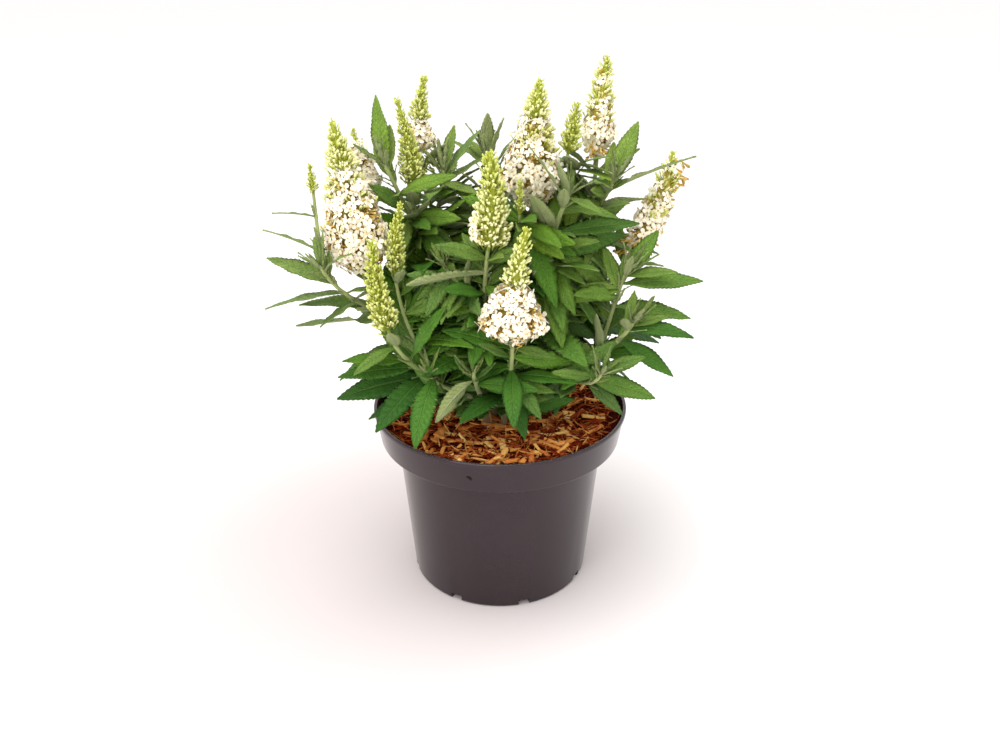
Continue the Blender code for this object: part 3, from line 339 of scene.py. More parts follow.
class Recipe:
    """A node tree that is filled one node at a time."""

    def __init__(self, tree):
        self.tree = tree

    def add(self, kind, settings=None, **inputs):
        """One node; each input is a value or another node's output, and at0 is its first socket."""
        node = self.tree.nodes.new("ShaderNode" + kind)
        for name, value in (settings or {}).items():
            setattr(node, name, value)
        for name, value in inputs.items():
            numbered = name.startswith("at")
            self.feed(node.inputs[int(name[2:]) if numbered else name], value)
        return node

    def feed(self, socket, value):
        """Link another node's output to the socket, or set a plain value on it."""
        if isinstance(value, bpy.types.NodeSocket):
            self.tree.links.new(value, socket)
        else:
            socket.default_value = value

    def maths(self, operation, first, second=0.0):
        return self.add("Math", {"operation": operation}, at0=first, at1=second).outputs[0]

    def times(self, value, by, plus=None):
        """The value times one share, and plus another where it is given."""
        product = self.maths("MULTIPLY", value, by)
        return product if plus is None else self.maths("ADD", product, plus)

    def blend(self, share, first, second):
        """A mix of two colours by a share."""
        settings = {"data_type": "RGBA", "blend_type": "MIX"}
        return self.add("Mix", settings, at0=share, at6=first, at7=second).outputs[2]

    def place(self):
        """The object's own coordinates."""
        return self.add("TexCoord").outputs["Object"]

    def part(self, vector, index):
        """One of the three numbers of a vector."""
        return self.add("SeparateXYZ", Vector=vector).outputs[index]

    def own(self, label):
        """The three numbers that each point of a piece carries: its place or its tint."""
        vector = self.add("Attribute", {"attribute_name": label}).outputs["Vector"]
        return self.add("SeparateXYZ", Vector=vector).outputs

    def noise(self, scale, detail=4.0, roughness=0.55, vector=None):
        """Noise from 0 to 1."""
        vector = vector or self.place()
        made = self.add("TexNoise", Vector=vector, Scale=scale, Detail=detail, Roughness=roughness)
        return made.outputs["Fac"]

    def ramp(self, share, stops):
        """Colours at places along a share."""
        node = self.add("ValToRGB", Fac=share)
        elements = node.color_ramp.elements
        while len(elements) < len(stops):
            elements.new(0.5)
        for element, (place, colour) in zip(elements, stops.items()):
            element.position = place
            element.color = (*colour, 1.0)
        return node.outputs["Color"]

    def steps(self, value, low, high):
        """A share that goes from 0 at low to 1 at high."""
        made = self.add("MapRange", {"interpolation_type": "SMOOTHSTEP"}, Value=value)
        made.inputs["From Min"].default_value = low
        made.inputs["From Max"].default_value = high
        return made.outputs["Result"]


class Group(Recipe):
    """A shader group whose inputs are colours or plain values, as their first values are."""

    def __init__(self, name, outputs, **inputs):
        super().__init__(bpy.data.node_groups.new(name, "ShaderNodeTree"))
        for label, value in inputs.items():
            kind = "Color" if isinstance(value, tuple) else "Float"
            self.socket(label, "INPUT", kind).default_value = value
        for label, kind in outputs.items():
            self.socket(label, "OUTPUT", kind)
        self.given = self.tree.nodes.new("NodeGroupInput").outputs
        self.result = self.tree.nodes.new("NodeGroupOutput").inputs

    def socket(self, label, way, kind):
        return self.tree.interface.new_socket(name=label, in_out=way, socket_type="NodeSocket" + kind)

    def give(self, **values):
        """Feed the group's outputs."""
        for label, value in values.items():
            self.feed(self.result[label], value)


VEIN_PAIRS = 11
VEIN_LEAN = 0.16
CELLS_PER_METRE = 560.0
GREY, DARK_GREY = (0.5, 0.5, 0.5, 1.0), (0.4, 0.4, 0.4, 1.0)


def make_mottle():
    """Cloudy change between two colours, with a finer speckle in it."""
    outputs = {"Color": "Color", "Cloud": "Float"}
    group = Group("mottle", outputs, Base=GREY, Patch=DARK_GREY, Scale=60.0, Amount=0.5)
    given = group.given
    coarse = group.noise(given["Scale"], 3.0)
    fine = group.noise(group.times(given["Scale"], 7.0), 2.0)
    both = group.maths("ADD", group.times(coarse, 0.7), group.times(fine, 0.3))
    cloud = group.steps(both, 0.35, 0.65)
    share = group.times(cloud, given["Amount"])
    group.give(Color=group.blend(share, given["Base"], given["Patch"]), Cloud=cloud)


def make_veins():
    """The net of a blade: a midrib, side veins that run forward from it, and fine cells between."""
    outputs = {"Veins": "Float", "Net": "Float", "Height": "Float"}
    group = Group("veins", outputs, Pairs=VEIN_PAIRS * 1.0, Lean=VEIN_LEAN, Cells=CELLS_PER_METRE)
    given = group.given
    place = group.own("place")
    across = group.maths("ABSOLUTE", place[0])
    forward = group.maths("SUBTRACT", place[1], group.times(across, given["Lean"]))
    phase = group.maths("FRACT", group.times(forward, given["Pairs"]))
    off = group.maths("ABSOLUTE", group.maths("SUBTRACT", phase, 0.5))
    side = group.steps(off, 0.07, 0.0)
    fading = group.times(side, group.steps(across, 0.98, 0.55))
    midrib = group.steps(across, 0.11, 0.03)
    veins = group.maths("MAXIMUM", midrib, group.times(fading, 0.75))
    settings = {"feature": "DISTANCE_TO_EDGE"}
    cells = group.add("TexVoronoi", settings, Vector=group.place(), Scale=given["Cells"])
    net = group.steps(cells.outputs["Distance"], 0.22, 0.0)
    group.give(Veins=veins, Net=net, Height=group.maths("ADD", veins, group.times(net, 0.3)))


def make_fibres():
    """Fine grain along a piece's own length, for bark, wood and young stalks."""
    group = Group("fibres", {"Grain": "Float"}, Length=6.0, Strands=24.0)
    place = group.own("place")
    x = group.times(place[0], group.given["Strands"])
    y = group.times(place[1], group.given["Length"])
    vector = group.add("CombineXYZ", X=x, Y=y, Z=place[2]).outputs[0]
    group.give(Grain=group.noise(1.0, 4.0, 0.6, vector))


# Finishes

PLASTIC, PLASTIC_FLOW = (0.016, 0.011, 0.013, 1), (0.021, 0.015, 0.017, 1)
DUST = (0.2, 0.17, 0.15, 1)
PINKISH = (1.0, 0.8, 0.87, 1.0)
COMPOST, DRY_COMPOST = (0.014, 0.008, 0.006, 1), (0.05, 0.026, 0.016, 1)
BARK_TONES = {
    0.0: (0.02, 0.001, 0.0004), 0.2: (0.15, 0.011, 0.003), 0.4: (0.45, 0.085, 0.019),
    0.6: (0.72, 0.28, 0.065), 0.8: (0.9, 0.48, 0.13), 1.0: (0.96, 0.66, 0.24),
}
LEAF_GREENS = {
    0.0: (0.036, 0.115, 0.013), 0.35: (0.085, 0.225, 0.02), 0.7: (0.17, 0.31, 0.026),
    1.0: (0.28, 0.405, 0.048),
}
DOWN, LEAF_SHADE = (0.31, 0.37, 0.13, 1), (0.01, 0.06, 0.01, 1)
# Pale veins, and the painted shade in the sunken fine net between the cells of the upper face
VEIN_GREEN, NET_SHADE_GREEN = (0.24, 0.38, 0.09, 1), (0.008, 0.04, 0.006, 1)
FELT_GREENS = {0.0: (0.2, 0.25, 0.075), 0.5: (0.28, 0.34, 0.115), 1.0: (0.37, 0.44, 0.17)}
FELT_PATCH, FELT_VEIN = (0.38, 0.43, 0.19, 1), (0.48, 0.54, 0.32, 1)
STALK_AGES = {
    0.0: (0.11, 0.062, 0.028), 0.3: (0.2, 0.17, 0.06), 0.6: (0.25, 0.31, 0.1), 1.0: (0.42, 0.48, 0.17),
}
STALK_PATCH = (0.2, 0.2, 0.1, 1)
BUD_STALKS = ((0.28, 0.34, 0.022, 1), (0.55, 0.57, 0.05, 1))
BUD_HEADS = ((0.56, 0.62, 0.085, 1), (0.98, 0.94, 0.55, 1))
BUD_SHADE = (0.3, 0.34, 0.03, 1)
PETAL_WHITES = ((0.97, 0.87, 0.64, 1), (0.98, 0.95, 0.81, 1))
PETAL_FOOT, PETAL_SHADE = (0.95, 0.76, 0.38, 1), (0.95, 0.85, 0.76, 1)
TUBE_GOLDS = {
    0.0: (0.4, 0.27, 0.03), 0.35: (0.66, 0.38, 0.06), 0.7: (0.84, 0.62, 0.2), 1.0: (0.92, 0.84, 0.5),
}
TUBE_FOOT, TUBE_SHADE = (0.5, 0.4, 0.07, 1), (0.25, 0.09, 0.02, 1)
# Painted shade in the mouth of a floret's tube
THROAT_SHADE_BROWNS = ((0.07, 0.03, 0.01, 1), (0.22, 0.09, 0.02, 1))
FLOOR_WHITES = ((0.95, 0.925, 0.92, 1), (0.965, 0.945, 0.94, 1))
# A warm painted shadow on the floor round the pot, and how far its middle lies to the pot's left
FLOOR_PAINTED_SHADOW = (0.7, 0.635, 0.625, 1)
SHADOW_OFF_MIDDLE = (0.13, 0.0, 0.0)


class Finish(Recipe):
    """A material and its Principled shader, with plain values set on the shader's own sockets."""

    def __init__(self, name, **values):
        self.material = bpy.data.materials.new(name)
        self.material.use_nodes = True
        super().__init__(self.material.node_tree)
        self.shader = self.tree.nodes["Principled BSDF"].inputs
        for key, value in values.items():
            self.shader[key.replace("_", " ")].default_value = value

    def group(self, name, **values):
        """A shared group as one node, with this finish's own values."""
        node = self.tree.nodes.new("ShaderNodeGroup")
        node.node_tree = bpy.data.node_groups[name]
        for label, value in values.items():
            self.feed(node.inputs[label], value)
        return node.outputs

    def mottled(self, base, patch, scale, amount):
        return self.group("mottle", Base=base, Patch=patch, Scale=scale, Amount=amount)

    def paint(self, colour, height=None, distance=0.0, strength=1.0):
        """Feed the colour and the bumps to the shader; gives back the material."""
        self.feed(self.shader["Base Color"], colour)
        if height:
            bump = self.add("Bump", Height=height, Distance=distance, Strength=strength)
            self.feed(self.shader["Normal"], bump.outputs["Normal"])
        return self.material

    def petal_soft(self, colour, shade, share, scale):
        """Paint small cloudy patches over the colour, as thin live tissue has them."""
        cloud = self.mottled(colour, self.blend(share, colour, shade), scale, 0.5)
        return self.paint(cloud["Color"], cloud["Cloud"], 0.1 * MM, 0.4)


def plastic_finish():
    """Glossy moulded black plastic, with a thin dust and faint flow marks from the mould."""
    look = Finish("moulded_plastic", Specular_IOR_Level=0.46, Specular_Tint=PINKISH)
    base = look.mottled(PLASTIC, PLASTIC_FLOW, 22.0, 0.8)
    upward = look.steps(look.part(look.add("NewGeometry").outputs["Normal"], 2), 0.35, 0.95)
    speckle = look.steps(look.noise(900.0, 2.0), 0.5, 0.72)
    dust = look.times(upward, look.times(speckle, 0.5, 0.12))
    colour = look.blend(dust, base["Color"], DUST)
    stretched = look.add("Mapping", Vector=look.place(), Scale=(60.0, 60.0, 5.0)).outputs[0]
    flow = look.times(look.noise(1.0, 3.0, 0.6, stretched), 0.1, 0.1)
    look.feed(look.shader["Roughness"], look.maths("ADD", flow, look.times(dust, 0.4)))
    return look.paint(colour, look.noise(90.0, 2.0), 0.08 * MM, 0.4)


def soil_finish():
    """Dark moist compost."""
    look = Finish("compost", Roughness=0.95, Specular_IOR_Level=0.2)
    base = look.mottled(COMPOST, DRY_COMPOST, 240.0, 1.0)
    return look.paint(base["Color"], base["Cloud"], 1.2 * MM)


def bark_finish():
    """Shredded bark and wood chips; a strand's own tone takes it from dark bark to pale wood."""
    look = Finish("shredded_bark", Roughness=0.85, Specular_IOR_Level=0.05)
    tone = look.own("tint")[0]
    grain = look.group("fibres", Length=3.0, Strands=9.0)["Grain"]
    shifted = look.maths("ADD", tone, look.times(look.maths("SUBTRACT", grain, 0.5), 0.34))
    return look.paint(look.ramp(shifted, BARK_TONES), grain, 0.7 * MM)


def upper_leaf_finish():
    """The deep green upper face of a leaf; a young one is paler and downy."""
    look = Finish("leaf_upper", Specular_IOR_Level=0.14)
    tone, youth = look.own("tint")[:2]
    green = look.ramp(tone, LEAF_GREENS)
    downy = look.blend(look.times(youth, 0.85), green, DOWN)
    net = look.group("veins")
    cloud = look.mottled(downy, look.blend(0.5, downy, LEAF_SHADE), 70.0, 0.6)
    ribbed = look.blend(look.times(net["Veins"], 0.12), cloud["Color"], VEIN_GREEN)
    # Painted shade: the sunken fine net between the cells is coloured darker
    celled = look.blend(look.times(net["Net"], 0.3), ribbed, NET_SHADE_GREEN)
    look.feed(look.shader["Roughness"], look.times(youth, 0.35, 0.42))
    return look.paint(celled, look.times(net["Height"], -1.0), 0.6 * MM, 0.9)


def lower_leaf_finish():
    """The grey-green felt of a leaf's under face, with its veins standing out."""
    shine = {"Specular_IOR_Level": 0.12, "Sheen_Weight": 0.1, "Sheen_Roughness": 0.6}
    look = Finish("leaf_under", Roughness=0.8, **shine)
    felt = look.ramp(look.own("tint")[0], FELT_GREENS)
    cloud = look.mottled(felt, FELT_PATCH, 90.0, 0.4)
    net = look.group("veins")
    ribbed = look.blend(look.times(net["Veins"], 0.55), cloud["Color"], FELT_VEIN)
    return look.paint(ribbed, net["Height"], 0.8 * MM)


def stalk_finish():
    """Young stalks are downy green; the foot of a stem is straw to brown."""
    shine = {"Specular_IOR_Level": 0.25, "Sheen_Weight": 0.2, "Sheen_Roughness": 0.5}
    look = Finish("stalk", Roughness=0.7, **shine)
    aged = look.ramp(look.own("tint")[1], STALK_AGES)
    cloud = look.mottled(aged, STALK_PATCH, 160.0, 0.35)
    grain = look.group("fibres", Length=30.0, Strands=7.0)["Grain"]
    return look.paint(cloud["Color"], grain, 0.3 * MM)


def bud_finish():
    """Lime-green buds; the second tint is how ripe, and so how pale, the head is."""
    look = Finish("bud", Roughness=0.6, Specular_IOR_Level=0.3, Sheen_Weight=0.1)
    tone, ripe = look.own("tint")[:2]
    along = look.own("place")[1]
    stalk = look.blend(tone, *BUD_STALKS)
    head = look.blend(ripe, *BUD_HEADS)
    colour = look.blend(look.steps(along, 0.45, 0.85), stalk, head)
    return look.petal_soft(colour, BUD_SHADE, 0.35, 300.0)


def petal_finish():
    """White lobes, warmer towards the throat."""
    shine = {"Specular_IOR_Level": 0.3, "Sheen_Weight": 0.15, "Sheen_Roughness": 0.4}
    look = Finish("petal", Roughness=0.55, **shine)
    tone = look.own("tint")[0]
    outward = look.own("place")[1]
    white = look.blend(tone, *PETAL_WHITES)
    warm = look.blend(look.steps(outward, 0.0, 0.3), PETAL_FOOT, white)
    return look.petal_soft(warm, PETAL_SHADE, 0.3, 420.0)


def tube_finish():
    """The golden-brown tubes and cups that the florets stand on."""
    look = Finish("floret_tube", Roughness=0.6, Specular_IOR_Level=0.25)
    tone = look.own("tint")[0]
    along = look.own("place")[1]
    gold = look.ramp(tone, TUBE_GOLDS)
    colour = look.blend(look.steps(along, 0.05, 0.4), TUBE_FOOT, gold)
    return look.petal_soft(colour, TUBE_SHADE, 0.4, 350.0)


def throat_finish():
    """The mouth at the middle of a floret, closed and painted dark brown as painted shade down its narrow
    tube.
    """
    look = Finish("floret_throat", Roughness=0.7, Specular_IOR_Level=0.2)
    return look.paint(look.blend(look.noise(500.0), *THROAT_SHADE_BROWNS))


def paper_finish():
    """The pale studio floor, with a barely seen tooth and a warm painted shadow round the pot, centred a
    little to its left.
    """
    look = Finish("pale_floor", Roughness=0.85, Specular_IOR_Level=0.15)
    tooth = look.blend(look.noise(90.0, 3.0), *FLOOR_WHITES)
    moved = look.add("Mapping", Vector=look.place(), Location=SHADOW_OFF_MIDDLE).outputs[0]
    away = look.add("VectorMath", {"operation": "LENGTH"}, at0=moved).outputs["Value"]
    return look.paint(look.blend(look.steps(away, 0.06, 0.46), FLOOR_PAINTED_SHADOW, tooth))


# Meshes

STALK_END = 0.3


class Heap:
    """Points, triangles and their tints, gathered in arrays and made into one mesh at the end."""

    def __init__(self):
        self.shapes = []
        self.count = 0

    def add(self, points, faces, skin, places, tint):
        """Add one shape; the skin is one number or one for each face, and the tint one or one a point."""
        skins = np.broadcast_to(skin, len(faces))
        tints = np.broadcast_to(tint, (len(points), 3))
        self.shapes.append((points, faces + self.count, skins, places, tints))
        self.count += len(points)

    def stamp(self, shape, place, turn, tint):
        """Add a copy of a shape, turned by a 3 by 3 matrix and moved to its place."""
        points, faces, skins, places = shape
        self.add(points @ np.array(turn).T + np.array(place), faces, skins, places, tint)

    def piece(self, name, finishes, slot):
        """Make the gathered shapes into one shown piece on the body."""
        points, faces, skins, places, tints = map(np.concatenate, zip(*self.shapes))
        mesh = bpy.data.meshes.new(name)
        mesh.vertices.add(len(points))
        mesh.vertices.foreach_set("co", points.astype(np.float32).ravel())
        mesh.loops.add(faces.size)
        mesh.loops.foreach_set("vertex_index", faces.astype(np.int32).ravel())
        mesh.polygons.add(len(faces))
        mesh.polygons.foreach_set("loop_start", np.arange(0, faces.size, 3, dtype=np.int32))
        mesh.polygons.foreach_set("material_index", skins.astype(np.int32))
        for label, values in (("place", places), ("tint", tints)):
            layer = mesh.attributes.new(label, "FLOAT_VECTOR", "POINT")
            layer.data.foreach_set("vector", values.astype(np.float32).ravel())
        mesh.update(calc_edges=True)
        mesh.shade_smooth()
        for finish in finishes:
            mesh.materials.append(finish)
        obj = put(name, mesh)
        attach(obj, BODY)
        return obj


def template(points, places, faces):
    """One small shape of a single skin, in arrays."""
    return np.array(points), faces, np.zeros(len(faces), dtype=int), np.array(places)


def quad(row, i, count):
    """The four corners of one side between a ring and the next."""
    low, high, j = row * count, (row + 1) * count, (i + 1) % count
    return low + i, low + j, high + j, high + i


def tube_faces(rows, count, closed_ends=True):
    """Triangles of a tube of rings, with its ends fanned from one point before and one after them."""
    faces = []
    for row in range(rows - 1):
        for i in range(count):
            a, b, c, d = quad(row, i, count)
            faces += [(a, b, c), (a, c, d)]
    if closed_ends:
        top = (rows - 1) * count
        for i in range(count):
            j = (i + 1) % count
            faces += [(j, i, rows * count), (top + i, top + j, rows * count + 1)]
    return np.array(faces)


def turned_template(profile, count, squash=1.0):
    """A template turned about +Z from (radius, height) pairs; place holds angle, share and height."""
    heights = [height for _, height in profile]
    low, high = min(heights), max(heights)
    points, places = [], []
    for radius, height in profile:
        for i, (x, y) in enumerate(circle(radius, count)):
            points.append((x, y * squash, height))
            places.append((i / count, (height - low) / (high - low), 0.0))
    points += [(0, 0, heights[0]), (0, 0, heights[-1])]
    places += [(0, 0, 0), (0, 1, 0)]
    return template(points, places, tube_faces(len(profile), count))


def turn_to(out, spin=None, stretch=(1.0, 1.0, 1.0)):
    """A 3 by 3 matrix that stretches a shape, spins it about +Z and takes +Z to the given way."""
    turn = out.to_track_quat("Z", "Y").to_matrix()
    if spin is not None:
        turn = turn @ Matrix.Rotation(spin, 3, "Z")
    return np.array(turn @ Matrix.Diagonal(stretch))


def tumble(heading, tilt, roll):
    """A 3 by 3 matrix that rolls a shape about +X, tilts it and gives it a heading."""
    turn = Matrix.Rotation(heading, 3, "Z") @ Matrix.Rotation(tilt, 3, "Y")
    return turn @ Matrix.Rotation(roll, 3, "X")


def sweep(heap, line, radii, skin, tint_rows, count=8, corners=0.0, turn=0.0, across=RIGHT):
    """A stalk swept along points; corners makes its section squarer."""
    line = np.array(line)
    ways = np.gradient(line, axis=0)
    ways /= np.linalg.norm(ways, axis=1)[:, None]
    first = np.array(across)
    steps = np.arange(count)
    angles = steps * math.tau / count + turn
    shape = 1.0 + corners * np.cos(4 * (angles - turn))
    rings, places, tints = [], [], []
    lengths = np.concatenate([[0.0], np.cumsum(np.linalg.norm(np.diff(line, axis=0), axis=1))])
    for row, (point, way) in enumerate(zip(line, ways)):
        side = first - way * first.dot(way)
        side /= np.linalg.norm(side)
        other = np.cross(way, side)
        around = np.cos(angles)[:, None] * side + np.sin(angles)[:, None] * other
        rings.append(point + around * (radii[row] * shape)[:, None])
        places.append(np.column_stack([steps / count, np.full(count, lengths[row]), np.zeros(count)]))
        tints.append(np.tile(tint_rows[row], (count, 1)))
    before, after = line[:1] - ways[:1] * radii[0] * STALK_END, line[-1:] + ways[-1:] * radii[-1]
    points = np.vstack([*rings, before, after])
    places = np.vstack(places + [places[0][:1], places[-1][:1]])
    tints = np.vstack(tints + [tint_rows[:1], tint_rows[-1:]])
    heap.add(points, tube_faces(len(line), count), skin, places, tints)


def spot(draw, *ranges):
    """One random number from each range."""
    return [draw.uniform(low, high) for low, high in ranges]


# Pot, soil and bark

POT_SEGMENTS = 144
RIM_EDGE = 0.35 * MM
CORNER_STEPS, CORNER_REACH = 4, 0.45
HOLE_CORNERS = 32
CUT_DEPTH = 4 * MM
SHARP_PLASTIC = math.radians(50)
SHARP_BARK = math.radians(38)
BED_SEGMENTS = 72
BED_RINGS = (1.0, 0.93, 0.84, 0.74, 0.63, 0.51, 0.38, 0.25, 0.12)
BED_SUNK = 0.6 * MM
BED_TINT = (0.06, 0, 0)
GRAIN_PER_METRE = 60.0
FIBRES = 2300
FIBRE_KINDS = 14
FIBRE_BENDS, FIBRE_TWISTS, FIBRE_FLATNESS = ((-5, 5), (-3, 2)), (-1.5, 1.5), (0.3, 0.8)
FIBRE_MARGIN = 1 * MM
# Share of the length, and how thick there
FIBRE_PROFILE = ((0.08, 0.5), (0.36, 1.0), (0.66, 0.9), (0.93, 0.4))
# The shortest strand, what is added to it at most, and a power that makes most of them short
FIBRE_LENGTHS, FIBRE_SHORTNESS = (5 * MM, 21 * MM), 1.8
FIBRE_WIDTHS, FIBRE_LIFTS, FIBRE_TILT = (0.45, 1.5), (-0.6, 2.4), 0.13
FIBRE_CORNER, FIBRE_WIDTH = 0.78, 0.7
DARK_SHARE = 0.55
DARK_TONES, PALE_TONES, SMALL_CHIP_TONES = (0.27, 0.1), (0.52, 0.17), (0.63, 0.2)
CHIP_TONES = (0.55, 0.92)
CHIP_SWAY, CHIP_TAPER, CHIP_TILTS, CHIP_ROLLS = (-0.25, 0.25), (0.55, 1.0), (-9, 9), (-20, 20)
CHIP_CORNERS = 8
CHIP_SQUARENESS = 1.25
CHIP_BREAK, CHIP_ROUGHNESS = 0.06, (0.86, 1.06)
SMALL_CHIPS = 210
SMALL_CHIP_LENGTHS, SMALL_CHIP_THICKNESSES = (4, 19), (0.9, 2.4)
SMALL_CHIP_WIDEST, SMALL_CHIP_SLENDERNESS = 6 * MM, (0.2, 0.5)
# Every second small chip lies in front, about this heading and with this spread in degrees
FRONT_HEADING = (-90, 42)
BARK_SEED = 5
CRUMB_ANGLE, CRUMB_HEIGHT = math.radians(-103), 128 * MM
CRUMB_PROFILE = ((0.3, -0.9), (0.8, -0.5), (1.0, 0.0), (0.75, 0.5), (0.35, 0.85))
CRUMB_SIDES, CRUMB_ROUGHNESS, CRUMB_SQUASH, CRUMB_DEPTH = 9, (0.8, 1.1), 0.7, 0.55
# Millimetres across, millimetres up, and size
CRUMB_LUMPS = ((0, 0, 1.25), (1.6, 0.7, 0.7), (-1.1, -1.2, 0.55))


def inner_radius(height):
    """The radius of the pot's inner wall at a height above its step."""
    share = (height - STEP_HEIGHT) / COLLAR_HEIGHT
    return COLLAR_FOOT_RADIUS + share * (RIM_RADIUS - COLLAR_FOOT_RADIUS) - COLLAR_WALL


def rounded(corners):
    """The profile with each corner replaced by a short arc of the radius given for it."""
    places = [Vector(place) for place, _ in corners]
    made = [corners[0][0]]
    for before, here, after, (corner, radius) in zip(places, places[1:], places[2:], corners[1:]):
        back, on = (before - here).normalized(), (after - here).normalized()
        if not radius:
            made.append(corner)
            continue
        reach = min(radius / math.tan(back.angle(on) / 2), (before - here).length * CORNER_REACH)
        reach = min(reach, (after - here).length * CORNER_REACH)
        first, last = here + back * reach, here + on * reach
        for share in [i / CORNER_STEPS for i in range(CORNER_STEPS + 1)]:
            rest = 1 - share
            made.append(tuple(first * rest**2 + here * 2 * share * rest + last * share**2))
    return made + [corners[-1][0]]


def make_pot(plastic):
    """The moulded pot with rounded edges, a bead round the rim, and drainage."""
    profile = rounded((
        ((0.0, FLOOR_TOP), 0),
        ((FOOT_RADIUS - FOOT_CORNER, FLOOR_TOP), 2 * MM),
        ((BODY_TOP_RADIUS - WALL, STEP_HEIGHT + WALL), 1 * MM),
        ((COLLAR_FOOT_RADIUS - WALL, STEP_HEIGHT + WALL), 1 * MM),
        ((inner_radius(POT_HEIGHT), POT_HEIGHT), 0.7 * MM),
        ((RIM_RADIUS - RIM_EDGE, POT_HEIGHT), 0.7 * MM),
        ((RIM_RADIUS, POT_HEIGHT - 2 * RIM_EDGE), 0.7 * MM),
        ((RIM_RADIUS, POT_HEIGHT - BEAD_HEIGHT), 0.6 * MM),
        ((RIM_RADIUS - BEAD_STEP, POT_HEIGHT - BEAD_HEIGHT - BEAD_STEP / 2), 0.5 * MM),
        ((COLLAR_FOOT_RADIUS, STEP_HEIGHT), 1.6 * MM),
        ((BODY_TOP_RADIUS, STEP_HEIGHT), 1.2 * MM),
        ((FOOT_RADIUS, FOOT_EDGE), 2.4 * MM),
        ((FOOT_RADIUS - FOOT_EDGE, 0.0), 0.8 * MM),
        ((0.0, 0.0), 0),
    ))
    points = [(0.0, 0.0, profile[0][1]), (0.0, 0.0, profile[-1][1])]
    for radius, height in profile[1:-1]:
        points += [(x, y, height) for x, y in circle(radius, POT_SEGMENTS)]
    rings = len(profile) - 2
    faces = []
    for i in range(POT_SEGMENTS):
        j = (i + 1) % POT_SEGMENTS
        last = 2 + (rings - 1) * POT_SEGMENTS
        faces += [(0, 2 + i, 2 + j), (1, last + j, last + i)]
        for row in range(rings - 1):
            a, b, c, d = (2 + corner for corner in quad(row, i, POT_SEGMENTS))
            faces.append((a, d, c, b))
    pot = put_mesh("nursery_pot", points, faces)
    cut_drainage(pot)
    pot.data.materials.append(plastic)
    pot.data.shade_smooth()
    pot.data.set_sharp_from_angle(angle=SHARP_PLASTIC)
    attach(pot, BODY)
    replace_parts(pot, "pot")


def drain_cutter(outline, depth, place):
    """A closed prism as deep as twice the depth, over an outline, at its place in the pot."""
    sides = len(outline)
    points = [place @ Vector((x, y, z)) for z in (-depth, depth) for x, y in outline]
    faces = [tuple(range(sides - 1, -1, -1)), tuple(range(sides, 2 * sides))]
    faces += [quad(0, k, sides) for k in range(sides)]
    return put_mesh("drain_cutter", points, faces)


def cut_drainage(pot):
    """Cut the slots through the foot's corner and the round holes through the floor."""
    x, y, z = DRAIN_SLOT / 2
    inset = Matrix.Translation((FOOT_RADIUS - DRAIN_SLOT_INSET, 0.0, DRAIN_SLOT_LEVEL))
    cutters = []
    for i in range(DRAIN_SLOTS):
        turn = Matrix.Rotation((i + DRAIN_TURN) * math.tau / DRAIN_SLOTS, 4, "Z")
        cutters.append(drain_cutter(((-x, -y), (x, -y), (x, y), (-x, y)), z, turn @ inset))
    rim = circle(DRAIN_HOLE_RADIUS, HOLE_CORNERS)
    for i in range(DRAIN_HOLES):
        turn = Matrix.Rotation((i + DRAIN_TURN) * math.tau / DRAIN_HOLES, 4, "Z")
        middle = turn @ Vector((DRAIN_HOLE_RING, 0.0, FLOOR_TOP / 2))
        cutters.append(drain_cutter(rim, CUT_DEPTH, Matrix.Translation(middle)))
    for cutter in cutters:
        difference = pot.modifiers.new("drain", "BOOLEAN")
        difference.operation = "DIFFERENCE"
        difference.object = cutter
    depsgraph = bpy.context.evaluated_depsgraph_get()
    depsgraph.update()
    pierced = bpy.data.meshes.new_from_object(pot.evaluated_get(depsgraph))
    pot.modifiers.clear()
    pot.data = pierced
    for cutter in cutters:
        bpy.data.objects.remove(cutter, do_unlink=True)


def mulch_height(x, y):
    """The top of the bark bed at a place."""
    return MULCH_LEVEL + MULCH_BUMP * noise.noise(Vector((x, y, MULCH_LEVEL)) * BUMPS_PER_METRE)


def bark_bed(heap):
    """The dark bed under the loose strands, as wide and deep as the frame's own layer."""
    bottom = SOIL_TOP + GAP
    reach = inner_radius(MULCH_LEVEL) - 3 * GAP
    points = [(x, y, bottom) for x, y in circle(reach, BED_SEGMENTS)]
    for share in BED_RINGS:
        points += [(x, y, mulch_height(x, y) - BED_SUNK) for x, y in circle(reach * share, BED_SEGMENTS)]
    points += [(0, 0, bottom), (0, 0, mulch_height(0, 0) - BED_SUNK)]
    points = np.array(points)
    faces = tube_faces(len(BED_RINGS) + 1, BED_SEGMENTS)
    heap.add(points, faces, 0, points * GRAIN_PER_METRE, BED_TINT)


def fibre_template(bend, twist, flat):
    """A split strand along +X of length 1 and width 1: thick in the middle, bent and twisted."""
    points, places = [], []
    for share, wide in FIBRE_PROFILE:
        turn = twist * (share - 0.5)
        sag = (share - 0.5) ** 2
        for k in range(4):
            angle = k * math.tau / 4 + FIBRE_CORNER
            y, z = polar(wide * FIBRE_WIDTH, angle)
            z *= flat
            y, z = y * math.cos(turn) - z * math.sin(turn), y * math.sin(turn) + z * math.cos(turn)
            points.append((share - 0.5, y + bend[0] * sag, z + bend[1] * sag))
            places.append((k / 4, share, 0.0))
    for end in (0.0, 1.0):
        points.append((end - 0.5, bend[0] * 0.25, bend[1] * 0.25))
        places.append((0.5, end, 0.0))
    return template(points, places, tube_faces(len(FIBRE_PROFILE), 4))


